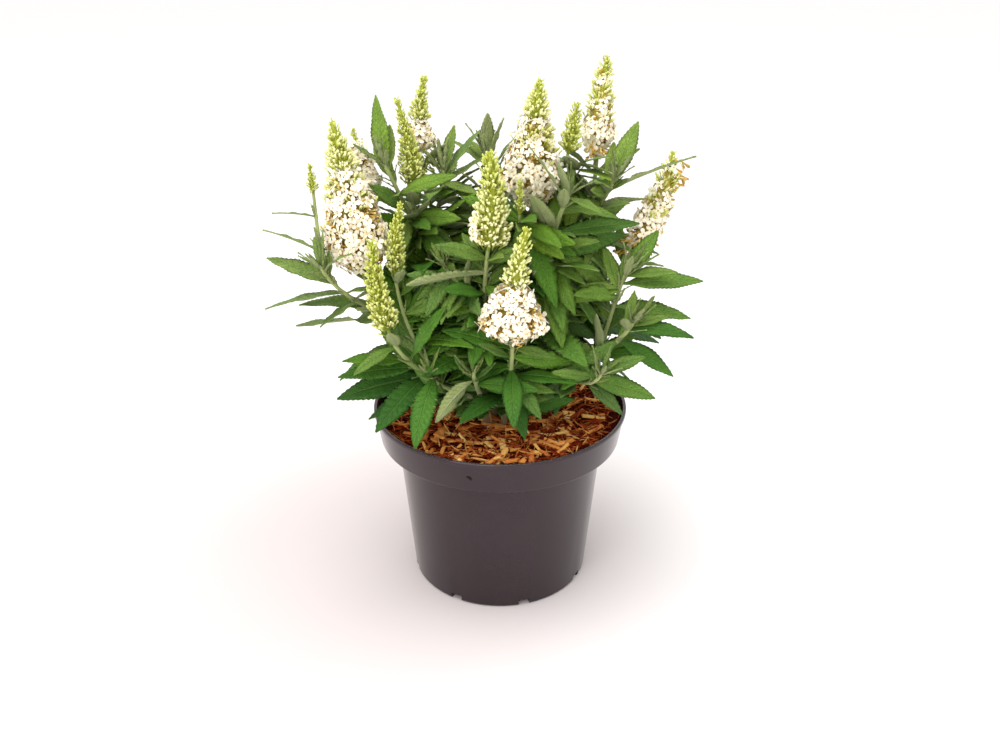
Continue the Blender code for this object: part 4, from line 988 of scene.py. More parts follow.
def scatter_fibres(heap, draw):
    """Loose shredded strands all over the bed, kept inside the pot's wall and off the stems' feet."""
    kinds = []
    for _ in range(FIBRE_KINDS):
        bend = spot(draw, *FIBRE_BENDS)
        kinds.append(fibre_template(bend, *spot(draw, FIBRE_TWISTS, FIBRE_FLATNESS)))
    widest = inner_radius(MULCH_LEVEL)
    made = 0
    while made < FIBRES:
        reach = widest * math.sqrt(draw.random())
        angle = draw.uniform(0, math.tau)
        length = FIBRE_LENGTHS[0] + FIBRE_LENGTHS[1] * draw.random() ** FIBRE_SHORTNESS
        width = draw.uniform(*FIBRE_WIDTHS) * MM
        heading, tilt = draw.uniform(0, math.tau), draw.gauss(0, FIBRE_TILT)
        lift = draw.uniform(*FIBRE_LIFTS) * MM
        tone = clamp(draw.gauss(*(DARK_TONES if draw.random() < DARK_SHARE else PALE_TONES)))
        x, y = polar(reach, angle)
        dx, dy = polar(length / 2 + FIBRE_MARGIN, heading)
        if max(math.hypot(x - dx, y - dy), math.hypot(x + dx, y + dy)) > widest - FIBRE_MARGIN:
            continue
        turn = tumble(heading, tilt, draw.uniform(0, math.tau)) @ Matrix.Diagonal((length, width, width))
        heap.stamp(draw.choice(kinds), (x, y, mulch_height(x, y) + lift), turn, (tone, 0, 0))
        made += 1


def chip_shape(draw, size, corners, rows=6):
    """A split chip along +X: a box of ragged rings with broken ends."""
    points, places = [], []
    for row in range(rows):
        share = row / (rows - 1)
        for k in range(CHIP_CORNERS):
            angle = (k + 0.5) * math.tau / CHIP_CORNERS
            y = clamp(math.cos(angle) * CHIP_SQUARENESS, -1.0) * size[1] / 2
            z = clamp(math.sin(angle) * CHIP_SQUARENESS, -1.0) * size[2] / 2
            side = int(y > 0)
            narrow = corners[side] * (1 - share) + corners[2 + side] * share
            ragged = draw.uniform(-CHIP_BREAK, CHIP_BREAK) * size[0] if row in (0, rows - 1) else 0.0
            rough = draw.uniform(*CHIP_ROUGHNESS)
            points.append(((share - 0.5) * size[0] + ragged, y * narrow * rough, z * rough))
            places.append((k / CHIP_CORNERS, share, 0.0))
    points += [(-0.5 * size[0], 0, 0), (0.5 * size[0], 0, 0)]
    places += [(0.5, 0, 0), (0.5, 1, 0)]
    return template(points, places, tube_faces(rows, CHIP_CORNERS))


def frame_chips(heap, rough):
    """The frame's own chips, at the same places and sizes, with split and broken faces."""
    draw = random.Random(CHIP_SEED)
    for index in range(CHIPS):
        size = spot(draw, CHIP_LENGTHS, CHIP_WIDTHS, CHIP_THICKNESSES)
        reach = (CHIP_FIELD_RADIUS - size[0] / 2) * math.sqrt((index + 0.5) / CHIPS)
        angle = index * GOLDEN_ANGLE + draw.uniform(*CHIP_SWAY)
        narrow = spot(draw, *[CHIP_TAPER] * 8)
        heading, tilt, roll = spot(draw, (0, math.tau), CHIP_TILTS, CHIP_ROLLS)
        turn = tumble(heading, math.radians(tilt), math.radians(roll))
        shape = chip_shape(rough, size, narrow[:4])
        middle = (*polar(reach, angle), MULCH_LEVEL + CHIP_LIFT)
        heap.stamp(shape, middle, turn, (rough.uniform(*CHIP_TONES), 0, 0))


def small_chips(heap, draw):
    """Smaller chips and flakes among the strands."""
    for made in range(SMALL_CHIPS):
        length = draw.uniform(*SMALL_CHIP_LENGTHS) * MM
        width = min(SMALL_CHIP_WIDEST, length * draw.uniform(*SMALL_CHIP_SLENDERNESS))
        size = (length, width, draw.uniform(*SMALL_CHIP_THICKNESSES) * MM)
        reach = (inner_radius(MULCH_LEVEL) - length / 2 - 1.5 * MM) * math.sqrt(draw.random())
        angle = draw.uniform(0, math.tau) if made % 2 else math.radians(draw.gauss(*FRONT_HEADING))
        x, y = polar(reach, angle)
        place = (x, y, mulch_height(x, y) + draw.uniform(-0.2, 1.9) * MM)
        turn = tumble(draw.uniform(0, math.tau), draw.gauss(0, 0.2), draw.gauss(0, 0.3))
        shape = chip_shape(draw, size, spot(draw, *[(0.5, 1.0)] * 4), 4)
        tone = clamp(draw.gauss(*SMALL_CHIP_TONES), 0.1)
        heap.stamp(shape, place, turn, (tone, 0, 0))


def make_bark(bark):
    """The whole layer of shredded bark."""
    heap = Heap()
    draw = random.Random(BARK_SEED)
    bark_bed(heap)
    frame_chips(heap, draw)
    small_chips(heap, draw)
    scatter_fibres(heap, draw)
    shredded = heap.piece("shredded_bark", [bark], "bark")
    shredded.data.set_sharp_from_angle(angle=SHARP_BARK)
    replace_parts(shredded, "bark_mulch")


def make_crumb(compost):
    """A small crumb of soil that sticks to the collar."""
    heap = Heap()
    draw = random.Random(BARK_SEED)
    reach = inner_radius(CRUMB_HEIGHT) + COLLAR_WALL + 0.1 * MM
    out = Vector((*polar(1.0, CRUMB_ANGLE), 0.0))
    profile = [(radius * draw.uniform(*CRUMB_ROUGHNESS), height) for radius, height in CRUMB_PROFILE]
    lump = turned_template(profile, CRUMB_SIDES, CRUMB_SQUASH)
    for dx, dz, size in CRUMB_LUMPS:
        side = out.cross(UP) * dx * MM + UP * dz * MM
        turn = turn_to(out, draw.uniform(0, 6), (1.0, 1.0, CRUMB_DEPTH)) * size * MM
        heap.stamp(lump, out * reach + UP * CRUMB_HEIGHT + side, turn, (0, 0, 0))
    heap.piece("soil_crumb", [compost], "soil")


# Routes of the stems, as the frame has them

LEAD_PULL = 1.4
TIP_OUTWARD = 0.45
LEAD_REACH, END_REACH = 0.36, 0.34
LENGTH_STEPS = 12
SHORTEST_ACROSS = 8 * MM
SAME_SEAT = 1e-9
# In steps between seats: how near a free seat is taken over, and how far the last one stays off the tip
SEAT_NEAR, SEAT_LAST = 0.6, 0.8
SEAT_HOPS = (0, -1, 1, -2, 2, -3, -4, -5)
FACE_UP_STEM = 0.6
# For leaves placed by rule: their sway in quarter turns, and their lift, roll and rises in degrees
RULE_SWAY, RULE_LIFT, RULE_ROLL = 0.14, 6, 16
LOW_RISES, TOP_RISES = (-8, 48), (12, 78)
RULE_SIZES, RULE_CURLS = (0.9, 1.08), (0.6, 1.3)
# Share of a sleeve's length where it is widest, its width at the foot, what it loses to its tip, and
# the power of that curve; the same for buds, with how fast they swell from the foot
WIDEST_AT, SLEEVE_FOOT, SLEEVE_TAPER, SLEEVE_CURVE = 0.3, 0.6, 0.5, 1.2
BUDS_FOOT, BUDS_SWELL, BUDS_TAPER, BUDS_CURVE = 0.7, 2.0, 0.72, 1.25


def foot_point(foot):
    """Where a main stem comes out of the mulch."""
    return Vector((foot[0] * MM, foot[1] * MM, MULCH_LEVEL))


def foot_direction(foot):
    """The way a main stem leans as it comes out."""
    return Vector((foot[0] * STEM_LEAN, foot[1] * STEM_LEAN, 1.0)).normalized()


def bezier(knots, share):
    """A point on the cubic curve with these four knots, and the curve's direction there."""
    a, b, c, d = knots
    rest = 1.0 - share
    point = a * rest**3 + b * 3 * rest * rest * share + c * 3 * rest * share * share + d * share**3
    slope = (b - a) * rest * rest + (c - b) * 2 * rest * share + (d - c) * share * share
    return point, slope.normalized()


def spike_line(spike, start):
    """The three knots of a spike's own curve."""
    tip = Vector(spike.tip) * MM
    middle = (start + tip) / 2 + Vector((*spike.bow, 0.0)) * MM * 2
    return start, middle, tip


def lay_routes():
    """The node that every shoot is part of, and the four knots of its curve, by its name."""
    spikes = {spike.name: spike for spike in SPIKES}
    nodes, routes = {}, {}
    for shoot in SHOOTS:
        parent, at = shoot.start
        tip = Vector(shoot.tip) * MM
        nodes[shoot.name] = nodes.get(parent, shoot.name)
        if parent in routes:
            start, lead = bezier(routes[parent], at)
            lead = (lead + (tip - start).normalized() * LEAD_PULL).normalized()
        else:
            lead = foot_direction(shoot.start)
            start = foot_point(shoot.start) + lead * STEM_STRAIGHT
        if shoot.name in spikes:
            line = spike_line(spikes[shoot.name], tip)
            end = (line[1] - line[0]).normalized()
        else:
            outward = Vector((tip.x, tip.y, 0.0)).normalized()
            end = (outward * TIP_OUTWARD + UP).normalized()
        reach = (tip - start).length
        routes[shoot.name] = (start, start + lead * reach * LEAD_REACH, tip - end * reach * END_REACH, tip)
    return nodes, routes


class Axis:
    """One shoot's square stalk, and the seats on its four sides that leaves grow from."""

    def __init__(self, shoot, node, knots):
        self.shoot = shoot
        self.node = node
        self.knots = knots
        self.side_shoot = isinstance(shoot.start[0], str)
        count = SIDE_POINTS if self.side_shoot else MAIN_POINTS
        self.line = [bezier(knots, i / (count - 1))[0] for i in range(count)]
        places = [bezier(knots, i / LENGTH_STEPS)[0] for i in range(LENGTH_STEPS + 1)]
        self.length = sum((after - place).length for place, after in zip(places, places[1:]))
        across = (knots[3] - knots[0]).cross(UP)
        self.across = across.normalized() if across.length > SHORTEST_ACROSS else RIGHT
        self.seats = []

    def radius(self, at):
        """How thick the stalk is at a share of the way up."""
        wide, thin = STEM_FOOT_RADIUS, STEM_TIP_RADIUS
        if self.side_shoot:
            wide, thin = SIDE_FOOT_RADIUS, SIDE_TIP_RADIUS
        return wide + (thin - wide) * at

    def frame(self, at):
        """Place, direction and the two square directions at a share of the way up."""
        spans = len(self.line) - 1
        span = min(int(at * spans), spans - 1)
        place = self.line[span].lerp(self.line[span + 1], at * spans - span)
        way = bezier(self.knots, at)[1]
        return place, way, *square_to(way, self.across)

    def facing(self, at, side):
        """The way that one of the four sides faces."""
        first, second = self.frame(at)[2:]
        return swung(first, second, math.radians(self.shoot.roll + 90 * side))

    def free_seat(self, at, along):
        """The nearest free place and side for a leaf that wants to grow this way."""
        step = SEAT_SPACING / self.length
        best = min(range(4), key=lambda side: -self.facing(at, side).dot(along))
        for seat in self.seats:
            if abs(seat[0] - at) < step * SEAT_NEAR and best not in seat[1]:
                return seat[0], best
        for hop in SEAT_HOPS:
            place = min(at + hop * step, 1.0 - step * SEAT_LAST)
            near = [seat for seat in self.seats if abs(seat[0] - place) < step]
            if not near:
                return place, best
            for seat in near:
                if best not in seat[1]:
                    return seat[0], best
        return None

    def take_seat(self, at, side, leaf):
        """Grow a leaf at a seat, unless the stalk and its leaves would then cross themselves."""
        for seat in self.seats:
            if abs(seat[0] - at) < SAME_SEAT:
                break
        else:
            seat = (at, {})
            self.seats.append(seat)
        seat[1][side] = leaf
        points, faces = self.mesh()
        tree = BVHTree.FromPolygons(points, faces)
        if not any(not set(faces[a]) & set(faces[b]) for a, b in tree.overlap(tree) if a < b):
            return True
        del seat[1][side]
        if not seat[1]:
            self.seats.remove(seat)
        return False

    def root(self, at, side):
        """The middle of a seat, on the stalk's flat side."""
        return self.frame(at)[0] + self.facing(at, side) * self.radius(at) * math.cos(math.pi / 4)

    def corners(self, place, way, radius):
        """The four corners of the square stalk at a place."""
        first, second = square_to(way, self.across)
        angles = [math.radians(self.shoot.roll + 90 * side - 45) for side in range(4)]
        return [place + swung(first, second, angle) * radius for angle in angles]

    def mesh(self, grow=0.0):
        """Points and faces of the stalk with its leaves raised from their seats."""
        half = SEAT_HEIGHT / 2 / self.length
        clear = half + SEAT_MARGIN / self.length
        taken = [at for at, _ in self.seats]
        marks = []
        for share in [i / (len(self.line) - 1) for i in range(len(self.line))]:
            if share in (0.0, 1.0) or all(abs(share - at) > clear for at in taken):
                marks.append((share, {}))
        for at, leaves in self.seats:
            marks += [(at - half, {}), (at + half, leaves)]
        marks.sort(key=lambda mark: mark[0])
        points, faces = [], [(3, 2, 1, 0)]
        rings = [self.frame(at)[:2] + (self.radius(at),) for at, _ in marks]
        if not self.side_shoot:
            lean = foot_direction(self.shoot.start)
            below = foot_point(self.shoot.start) - lean * STEM_ROOT_DEPTH
            rings.insert(0, (below, lean, STEM_FOOT_RADIUS))
            marks.insert(0, (0.0, {}))
        for place, way, radius in rings:
            points += self.corners(place, way, radius + grow)
        for row in range(1, len(rings)):
            leaves = marks[row][1]
            for side in range(4):
                a, b, c, d = quad(row - 1, side, 4)
                if side in leaves:
                    raise_leaf(points, faces, (c, d, a, b), leaves[side])
                else:
                    faces.append((a, b, c, d))
        last = len(rings) * 4 - 4
        faces.append((last, last + 1, last + 2, last + 3))
        return points, faces


def square_to(way, across):
    """Two directions square to the way, the first as near as can be to across."""
    first = squared(across, way)
    return first, way.cross(first)


def raise_leaf(points, faces, seat, leaf):
    """Grow a blade out of the four corners of its seat."""
    blade_points, blade_faces = leaf
    first = blade_points[:4]
    middles = [(points[seat[i]] + points[seat[(i + 1) % 4]]) / 2 for i in range(4)]
    centre = sum(middles, Vector()) / 4
    start = sum(first, Vector()) / 4

    def mismatch(shift):
        return -sum((middles[i] - centre).dot(first[(i + shift) % 4] - start) for i in range(4))

    shift = min(range(4), key=mismatch)
    base = len(points)
    points += blade_points
    faces += [tuple(i + base for i in face) for face in blade_faces]
    for i in range(4):
        here, after = base + (i + shift) % 4, base + (i + 1 + shift) % 4
        faces.append((seat[i], seat[(i + 1) % 4], here))
        faces.append((seat[(i + 1) % 4], after, here))


def blade(base, along, face, length, curl, twist, grow=0.0, neck=False):
    """Points and faces of a long folded blade from its first station to its tip, open at the foot.

    With neck, a narrow first station stands just off the stalk and closes the foot.
    """
    stations = LARGE_BLADE if length > SMALL_LEAF else SMALL_BLADE
    if neck:
        stations = ((NECK / length, *NECK_SHARES),) + stations
    width = length * LEAF_WIDTH / 2 + grow
    points = []
    for share, wide, thick in stations:
        turned_face = Matrix.Rotation(twist * share, 3, along) @ face
        side = along.cross(turned_face)
        middle = base + (along * share - face * curl * share * share) * length
        edge = side * width * wide
        lift = turned_face * width * wide * LEAF_FOLD
        half = turned_face * (LEAF_THICKNESS * thick / 2 + grow)
        points += [middle + half, middle + edge + lift, middle - half, middle - edge + lift]
    points.append(base + (along - face * curl) * (length + grow))
    faces = [(0, 3, 2), (0, 2, 1)] if neck else []
    last = len(stations) - 1
    for row in range(last):
        for i in range(4):
            a, b, c, d = quad(row, i, 4)
            faces += [(a, b, d), (b, c, d)] if i % 2 == 0 else [(a, b, c), (a, c, d)]
    faces += [(*quad(last, i, 4)[:2], len(points) - 1) for i in range(4)]
    return points, faces


class Thicket:
    """What already stands in the bush, so that a new leaf can be kept clear of it."""

    def __init__(self):
        self.things = []

    def add(self, points, faces, node=None):
        self.things.append((BVHTree.FromPolygons(points, faces), *box(points), node))

    def is_clear(self, grown, plain, node=None):
        """True where the grown blade misses other nodes and the plain one misses its own."""
        low, high = box(grown[0])
        if low[2] < LEAF_LOWEST:
            return False
        wide = BVHTree.FromPolygons(*grown)
        narrow = BVHTree.FromPolygons(*plain)
        for tree, other_low, other_high, other_node in self.things:
            if any(low[i] > other_high[i] or high[i] < other_low[i] for i in range(3)):
                continue
            if (narrow if other_node == node else wide).overlap(tree):
                return False
        return True


def box(points):
    """The lowest and the highest corner round some points."""
    return [[pick(point[i] for point in points) for i in range(3)] for pick in (min, max)]


def leaf_frame(heading, rise, stem_way, roll=0.0):
    """A leaf's direction and the way that its upper face looks."""
    along = Vector((math.cos(heading) * math.cos(rise), math.sin(heading) * math.cos(rise), math.sin(rise)))
    face = squared(stem_way * FACE_UP_STEM + UP, along)
    return along, Matrix.Rotation(roll, 3, along) @ face


def rule_leaves(axis, draw):
    """The opposite pairs of a shoot as (share, heading, rise, length, curl, roll)."""
    shoot = axis.shoot
    form = FLOWER_TOP if shoot.name in FLOWERING else LEAFY_TOP
    for pair in range(shoot.pairs):
        level = min(shoot.pairs - 1 - pair, len(form) - 1)
        size, lift, curl = form[level]
        lowest, highest = map(math.radians, LOW_RISES if level > 1 else TOP_RISES)
        at = shoot.first + (TOP_PAIR - shoot.first) * pair / max(shoot.pairs - 1, 1)
        way = axis.frame(at)[1]
        for side in (0, 2):
            out = axis.facing(at, side + pair + draw.uniform(-RULE_SWAY, RULE_SWAY))
            along = swung(out, way, math.radians(lift + draw.uniform(-RULE_LIFT, RULE_LIFT)))
            rise = clamp(math.asin(clamp(along.z, -1.0)), lowest, highest)
            length = shoot.leaf * size * draw.uniform(*RULE_SIZES) * MM
            roll = math.radians(draw.uniform(-RULE_ROLL, RULE_ROLL))
            heading = math.atan2(along.y, along.x)
            yield at, heading, rise, length, curl * draw.uniform(*RULE_CURLS), roll


def spike_frame(line, share):
    """Point, direction and two square directions on a spike's curve."""
    a, b, c = line
    point = a * (1 - share) ** 2 + b * 2 * share * (1 - share) + c * share * share
    way = ((b - a) * (1 - share) + (c - b) * share).normalized()
    across = (RIGHT - way * way.x).normalized()
    return point, way, across, way.cross(across)


def open_radius(spike, share):
    """How far the open florets reach, at a share of the flowering stretch."""
    if share < WIDEST_AT:
        swell = math.sin(share / WIDEST_AT * math.pi / 2)
        return spike.widest * MM * (SLEEVE_FOOT + (1 - SLEEVE_FOOT) * swell)
    beyond = (share - WIDEST_AT) / (1 - WIDEST_AT)
    return spike.widest * MM * (1.0 - SLEEVE_TAPER * beyond**SLEEVE_CURVE)


def bud_radius(spike, share):
    """How far the buds reach, at a share of the budded stretch."""
    swell = 1.0 if spike.over_sleeve else min(1.0, BUDS_FOOT + share * BUDS_SWELL)
    return spike.bud_width * MM * swell * (1.0 - BUDS_TAPER * share**BUDS_CURVE)


HULL_SHARES = (0.0, 0.06, 0.3, 0.55, 0.8, 1.0)
HULL_CORNERS = 8
HULL_ROOM = 1.5 * MM


def spike_hull(spike, line):
    """A plain envelope of the whole spike, to keep leaves off it."""
    points = []
    for share in HULL_SHARES:
        if share < spike.open_to:
            reach = open_radius(spike, share / spike.open_to)
        else:
            reach = bud_radius(spike, (share - spike.open_to) / (1 - spike.open_to)) + HULL_ROOM
        radius = (reach if share else STALK_RADIUS) + HULL_ROOM
        point, _, across, back = spike_frame(line, share)
        angles = [i * math.tau / HULL_CORNERS for i in range(HULL_CORNERS)]
        points += [point + swung(across, back, angle) * radius for angle in angles]
    return points, tube_faces(len(HULL_SHARES), HULL_CORNERS, closed_ends=False).tolist()


# Foliage

BLADE_THICKNESS, END_THICKNESS = 0.55 * MM, 0.5 * MM
# Powers that set where a blade is widest, and how full its outline is
BLADE_SHIFT, BLADE_FULLNESS = 0.88, 0.8
BLADE_END = 0.985
TEETH_FROM, TEETH_LENGTH = 0.12, 20 * MM
TOOTH_DEPTH, TOOTH_GAP, TOOTH_LEAN = 0.09, 0.04, 0.4
TURN_FOOT, JOINT = 0.3, 0.07
QUILT, WAVE = 0.36 * MM, 0.5 * MM
# Waves along a blade's edge, and the radians in one
WAVES, WAVE_RADIANS = (2.0, 4.0), 6.28
FOLD_CURVE = 1.3
RIB_WIDTH, RIB_ABOVE = 0.08, 0.25
# For a small leaf and for a large one
NARROWEST = (0.6 * MM, 0.95 * MM)
RIB_HEIGHTS = (0.4 * MM, 0.75 * MM)
STALK = 2
# For a young leaf, one deep inside the bush, and one in plain view
YOUNG, INNER, PLAIN = 0, 1, 2
CROSS_SHARES = ((-1.0, 0.0, 1.0), (-1.0, -0.45, 0.0, 0.45, 1.0), (-1.0, -0.58, -0.1, 0.0, 0.1, 0.58, 1.0))
LEAF_ROWS = (12, 20, 38)
FEWEST_ROWS, FULL_ROWS_LENGTH = 9, SMALL_LEAF * 1.15
# The bush's height over the pot and its reach, for the leaves' tones
BUSH_HEIGHT, BUSH_REACH = 160 * MM, 110 * MM
# Painted shade on leaves in plain view low in the bush: how much darker, and up to what share of its height
LOW_SHADE, SHADE_TOP = 0.45, 0.4
# Leaves low in the bush and inside it are darker, partly as older leaves are deeper green and partly as
# painted shade
# A leaf's tone at the rim, what height and the outside of the bush add, and how much it varies
RIM_TONE, HEIGHT_TONE, OUTER_TONE, HIGH_OUTER_TONE, TONE_SPREAD = 0.12, 0.38, 0.1, 0.3, 0.16
YOUNG_LENGTH = 40 * MM
SMALL_YOUTH, TINY_YOUTH = 0.25, 0.5
# How much a leaf faces the way that its side does, at least, and the share of its roll that twists it
LEAST_FACING, TWIST_OF_ROLL = 0.1, 0.8
# How far from the stalk's middle a leaf without a seat starts, as a share of the radius
LEAF_START = 0.5
# The blades roll up to this many degrees to the front, less so towards the back of the bush
FRONT_ROLL = 30
ROLL_BEHIND = 35 * MM
LEVEL_SHOOTS = ("left_reach", "left_bud")
# Degrees that some blades turn over beyond the foot, by their shoot and length in millimetres
TURNED_LEAVES = {
    ("centre_front", 56): -34, ("right_crest", 62): -62, ("left_reach", 68): 112,
    ("centre_front", 38): -48, ("centre_front", 28): 48, ("front_low", 40): 75,
    ("centre_right", 46): 14,
}
# Single leaves that are paler than their neighbours
PALE_LEAVES = {("front_low", 40): 0.95, ("centre_front", 56): 0.6}
# How young and downy the leaves of a shoot are
YOUNG_SHOOTS = {
    "left_reach": 0.6, "left_bud": 0.5, "back_left_fan": 0.45, "back_centre": 0.4, "centre_fan": 0.35,
    "right_crest": 0.3, "right_mid": 0.15, "front_right": 0.2, "centre_right": 0.15, "left_crest": 0.1,
}
# Leaves that fill gaps: the tries on each shoot, their reach, the reach from which their lowest tip
# rises, that tip, and how far back the point is that they grow away from
FILL_TRIES = 220
FILL_REACH = 80 * MM
FILL_FREE = 48 * MM
FILL_LOWEST = 150 * MM
FILL_MIDDLE = 45 * MM
FILL_TRIM = -0.2 * MM
FILL_LONGEST, FILL_SHORTENED, FILL_SPREAD = 60, 30, 0.8
FILL_SLOPE, FILL_OUTWARD = 0.8, 1.7
FILL_SHARES, FILL_CURLS = (0.03, 0.85), (0.06, 0.25)
FILL_RISES, FILL_ROLLS = (-40, 32), (-26, 26)
WANTED_TRIES = 60
WANTED_LOOSE = 14
WANTED_SLIDE, WANTED_HIGHEST = 0.1, 0.97
WANTED_SHORTER, WANTED_CURL = 0.3, 0.08
WANTED_FACE = Vector((-0.1, -0.75, 0.65))
# Shoot, share of it, and the tip in millimetres
WANTED_LEAVES = (
    ("left_crest", 0.45, (-88, -4, 311)),
    ("left_back", 0.75, (-82, 2, 291)),
    ("left_back", 0.62, (-81, 4, 277)),
    ("left_back", 0.5, (-79, 2, 261)),
    ("left_back", 0.4, (-77, 0, 246)),
    ("left_inner", 0.5, (-72, -12, 256)),
    ("left_inner", 0.35, (-78, -22, 238)),
    ("left_back", 0.85, (-32, 2, 262)),
    ("left_back", 0.75, (-36, 0, 284)),
    ("back_left", 0.45, (-72, 24, 251)),
    ("back_left", 0.6, (-70, 30, 276)),
    ("left_tall", 0.5, (-83, 6, 249)),
    ("centre_front", 0.955, (-35, -48, 280)),
    ("centre_front", 0.955, (15, -47, 280)),
)
# Tufts: how many leaves, and their shortest and longest in millimetres
SEAT_TUFT, TIP_TUFT = (2, (7, 15)), (6, (13, 26))
TUFTS_FROM, TUFT_RISES = 0.3, (48, 78)
TUFT_FOOT, TUFT_OPEN = 0.7, 0.9
TUFT_CURLS, TUFT_WIDTHS = (-0.06, 0.12), (0.5, 0.72)
TUFT_TONES, TUFT_YOUTHS = (0.4, 0.9), (0.55, 1.0)
STALK_POINTS = 44
STALK_CORNERS = 12
STALK_SLIMNESS, STALK_SQUARENESS = 0.9, 0.07
# Millimetres that a stalk goes on into the bark, and the share of its foot's thickness there
STALK_SUNK, STALK_FOOT = 9, 0.97
SWELLING, SWELLING_LENGTH = 0.22, 1.6 * MM
# A share beyond the tip, for a stalk that has no seats
NO_SEATS = [2.0]
# How young a stalk is at its start, and what it gains to its tip
SIDE_YOUTH, MAIN_YOUTH = (0.45, 0.5), (0.12, 0.8)
FOOT_YOUTHS = [0.0, 0.02, 0.08]


def fine_leaf(heap, shape, root, tint, draw, detail=PLAIN, slender=1.0, turned=0.0):
    """One veined leaf with a toothed edge, on the midrib that the frame's own leaf has."""
    base, along, face, length, curl, twist = shape
    large = length > SMALL_LEAF
    top = np.array(CROSS_SHARES[detail])
    rows = LEAF_ROWS[detail]
    if not large:
        rows = max(FEWEST_ROWS, round(rows * length / FULL_ROWS_LENGTH))
    across = np.concatenate([top, top[1:-1][::-1]])
    upper = np.concatenate([np.ones(len(top)), -np.ones(len(top) - 2)])
    upper[[0, len(top) - 1]] = 0.0
    count = len(across)
    share = np.linspace(0.0, BLADE_END, rows)[:, None]
    odd = np.where(np.arange(rows) % 2 == 1, 1.0, 0.0)[:, None]
    tooth = odd * (share > TEETH_FROM) * (length > TEETH_LENGTH)
    widest = length * LEAF_WIDTH / 2 * slender
    width = widest * np.sin(np.pi * share**BLADE_SHIFT) ** BLADE_FULLNESS
    width = width * (1.0 + (TOOTH_DEPTH * tooth - TOOTH_GAP) * np.abs(across) ** 4)
    width = np.maximum(width, (1.0 - share) * NARROWEST[large])
    reach = np.abs(across)[None, :]
    forward = share + tooth * reach**4 * TOOTH_LEAN / rows

    theta = twist * forward + turned * np.clip(forward / TURN_FOOT, 0.0, 1.0)
    spin = np.stack([np.cos(theta), np.sin(theta)], axis=-1)
    along, face = np.array(along), np.array(face)
    cross = np.cross(along, face)
    up = spin[..., :1] * face + spin[..., 1:] * cross
    side = spin[..., :1] * cross - spin[..., 1:] * face
    line = forward[..., None] * along - (curl * forward**2)[..., None] * face
    joined = np.clip(forward / JOINT, 0.0, 1.0)[..., None]
    joined = joined * joined * (3 - 2 * joined)
    middle = np.array(root) * (1 - joined) + (np.array(base) + line * length) * joined

    phase = 2 * np.pi * (forward - reach * VEIN_LEAN) * VEIN_PAIRS
    fullness = np.clip(width / widest, 0.0, 1.0)
    quilt = QUILT * np.cos(phase) * np.sin(np.pi * reach) * fullness * large
    wave_phase, waves = spot(draw, (0, 6), WAVES)
    wave = WAVE * np.sin(forward * waves * WAVE_RADIANS + wave_phase + across) * reach**2 * fullness
    thick = (BLADE_THICKNESS / 2 + (1 - fullness) ** 3 * END_THICKNESS) * (1 - reach**3)
    rib = np.exp(-((across / RIB_WIDTH) ** 2)) * (1.0 - forward) * RIB_HEIGHTS[large]
    lift = width * LEAF_FOLD * reach**FOLD_CURVE + wave - quilt
    lift = lift + upper * thick - (upper < 0) * rib - (upper > 0) * RIB_ABOVE * rib
    points = (middle + side * (width * across)[..., None] + up * lift[..., None]).reshape(-1, 3)
    tip = np.array(base) + (along - face * curl) * length
    points = np.vstack([points, points[:count].mean(axis=0)[None], tip[None]])
    places = np.zeros((len(points), 3))
    places[:-2, 0] = np.tile(across, rows)
    places[:-2, 1] = np.broadcast_to(forward, (rows, count)).ravel()
    places[-1, 1] = 1.0
    under = np.concatenate([np.zeros(len(top) - 1), np.ones(count - len(top) + 1)]).astype(int)
    skins = np.tile(np.repeat(under, 2), rows)
    heap.add(points, tube_faces(rows, count), skins, places, tint)


def leaf_tint(draw, shape, detail, youth):
    """Deeper green low in the bush and inside it, brighter near the top and the outside: partly the leaves'
    age, partly painted shade and light.
    """
    place, along, _, length = shape[:4]
    height = (place[2] - POT_HEIGHT) / BUSH_HEIGHT
    outside = math.hypot(place[0], place[1]) / BUSH_REACH
    tone = RIM_TONE + HEIGHT_TONE * height + (OUTER_TONE + HIGH_OUTER_TONE * clamp(height)) * outside
    tone += draw.gauss(0, TONE_SPREAD)
    # Painted shade: leaves in plain view are darker the lower they hang in the bush
    if detail == PLAIN:
        middle = (place[2] + along.z * length / 2 - POT_HEIGHT) / BUSH_HEIGHT
        tone -= LOW_SHADE * clamp(1.0 - middle / SHADE_TOP)
    if length < YOUNG_LENGTH:
        youth = max(youth, SMALL_YOUTH + TINY_YOUTH * (1 - length / YOUNG_LENGTH) * clamp(height))
    return clamp(tone, 0.02), min(1.0, youth), 0.0


def front_roll(shoot, shape):
    """How far a blade at the side or the front of the bush rolls over to face the front, in radians."""
    base, along, face = shape[:3]
    if shoot in LEVEL_SHOOTS:
        return 0.0
    front = clamp((ROLL_BEHIND - base.y) / (2 * ROLL_BEHIND))
    return -along.cross(face).y * math.radians(FRONT_ROLL) * front


def grow_leaves(axes, thicket):
    """Seat every leaf of the frame on its shoot, clear of all that stands there before it."""
    draw = random.Random(SEED)
    wanted = []
    for name, *rows in LEAVES:
        for at, heading, rise, length, curl, roll in rows:
            heading, rise, roll = map(math.radians, (heading, rise, roll))
            wanted.append((axes[name], (at, heading, rise, length * MM, curl, roll)))
    for axis in axes.values():
        wanted += [(axis, row) for row in rule_leaves(axis, draw)]
    return [leaf for axis, row in wanted for leaf in fit_leaf(axis, row, thicket)]


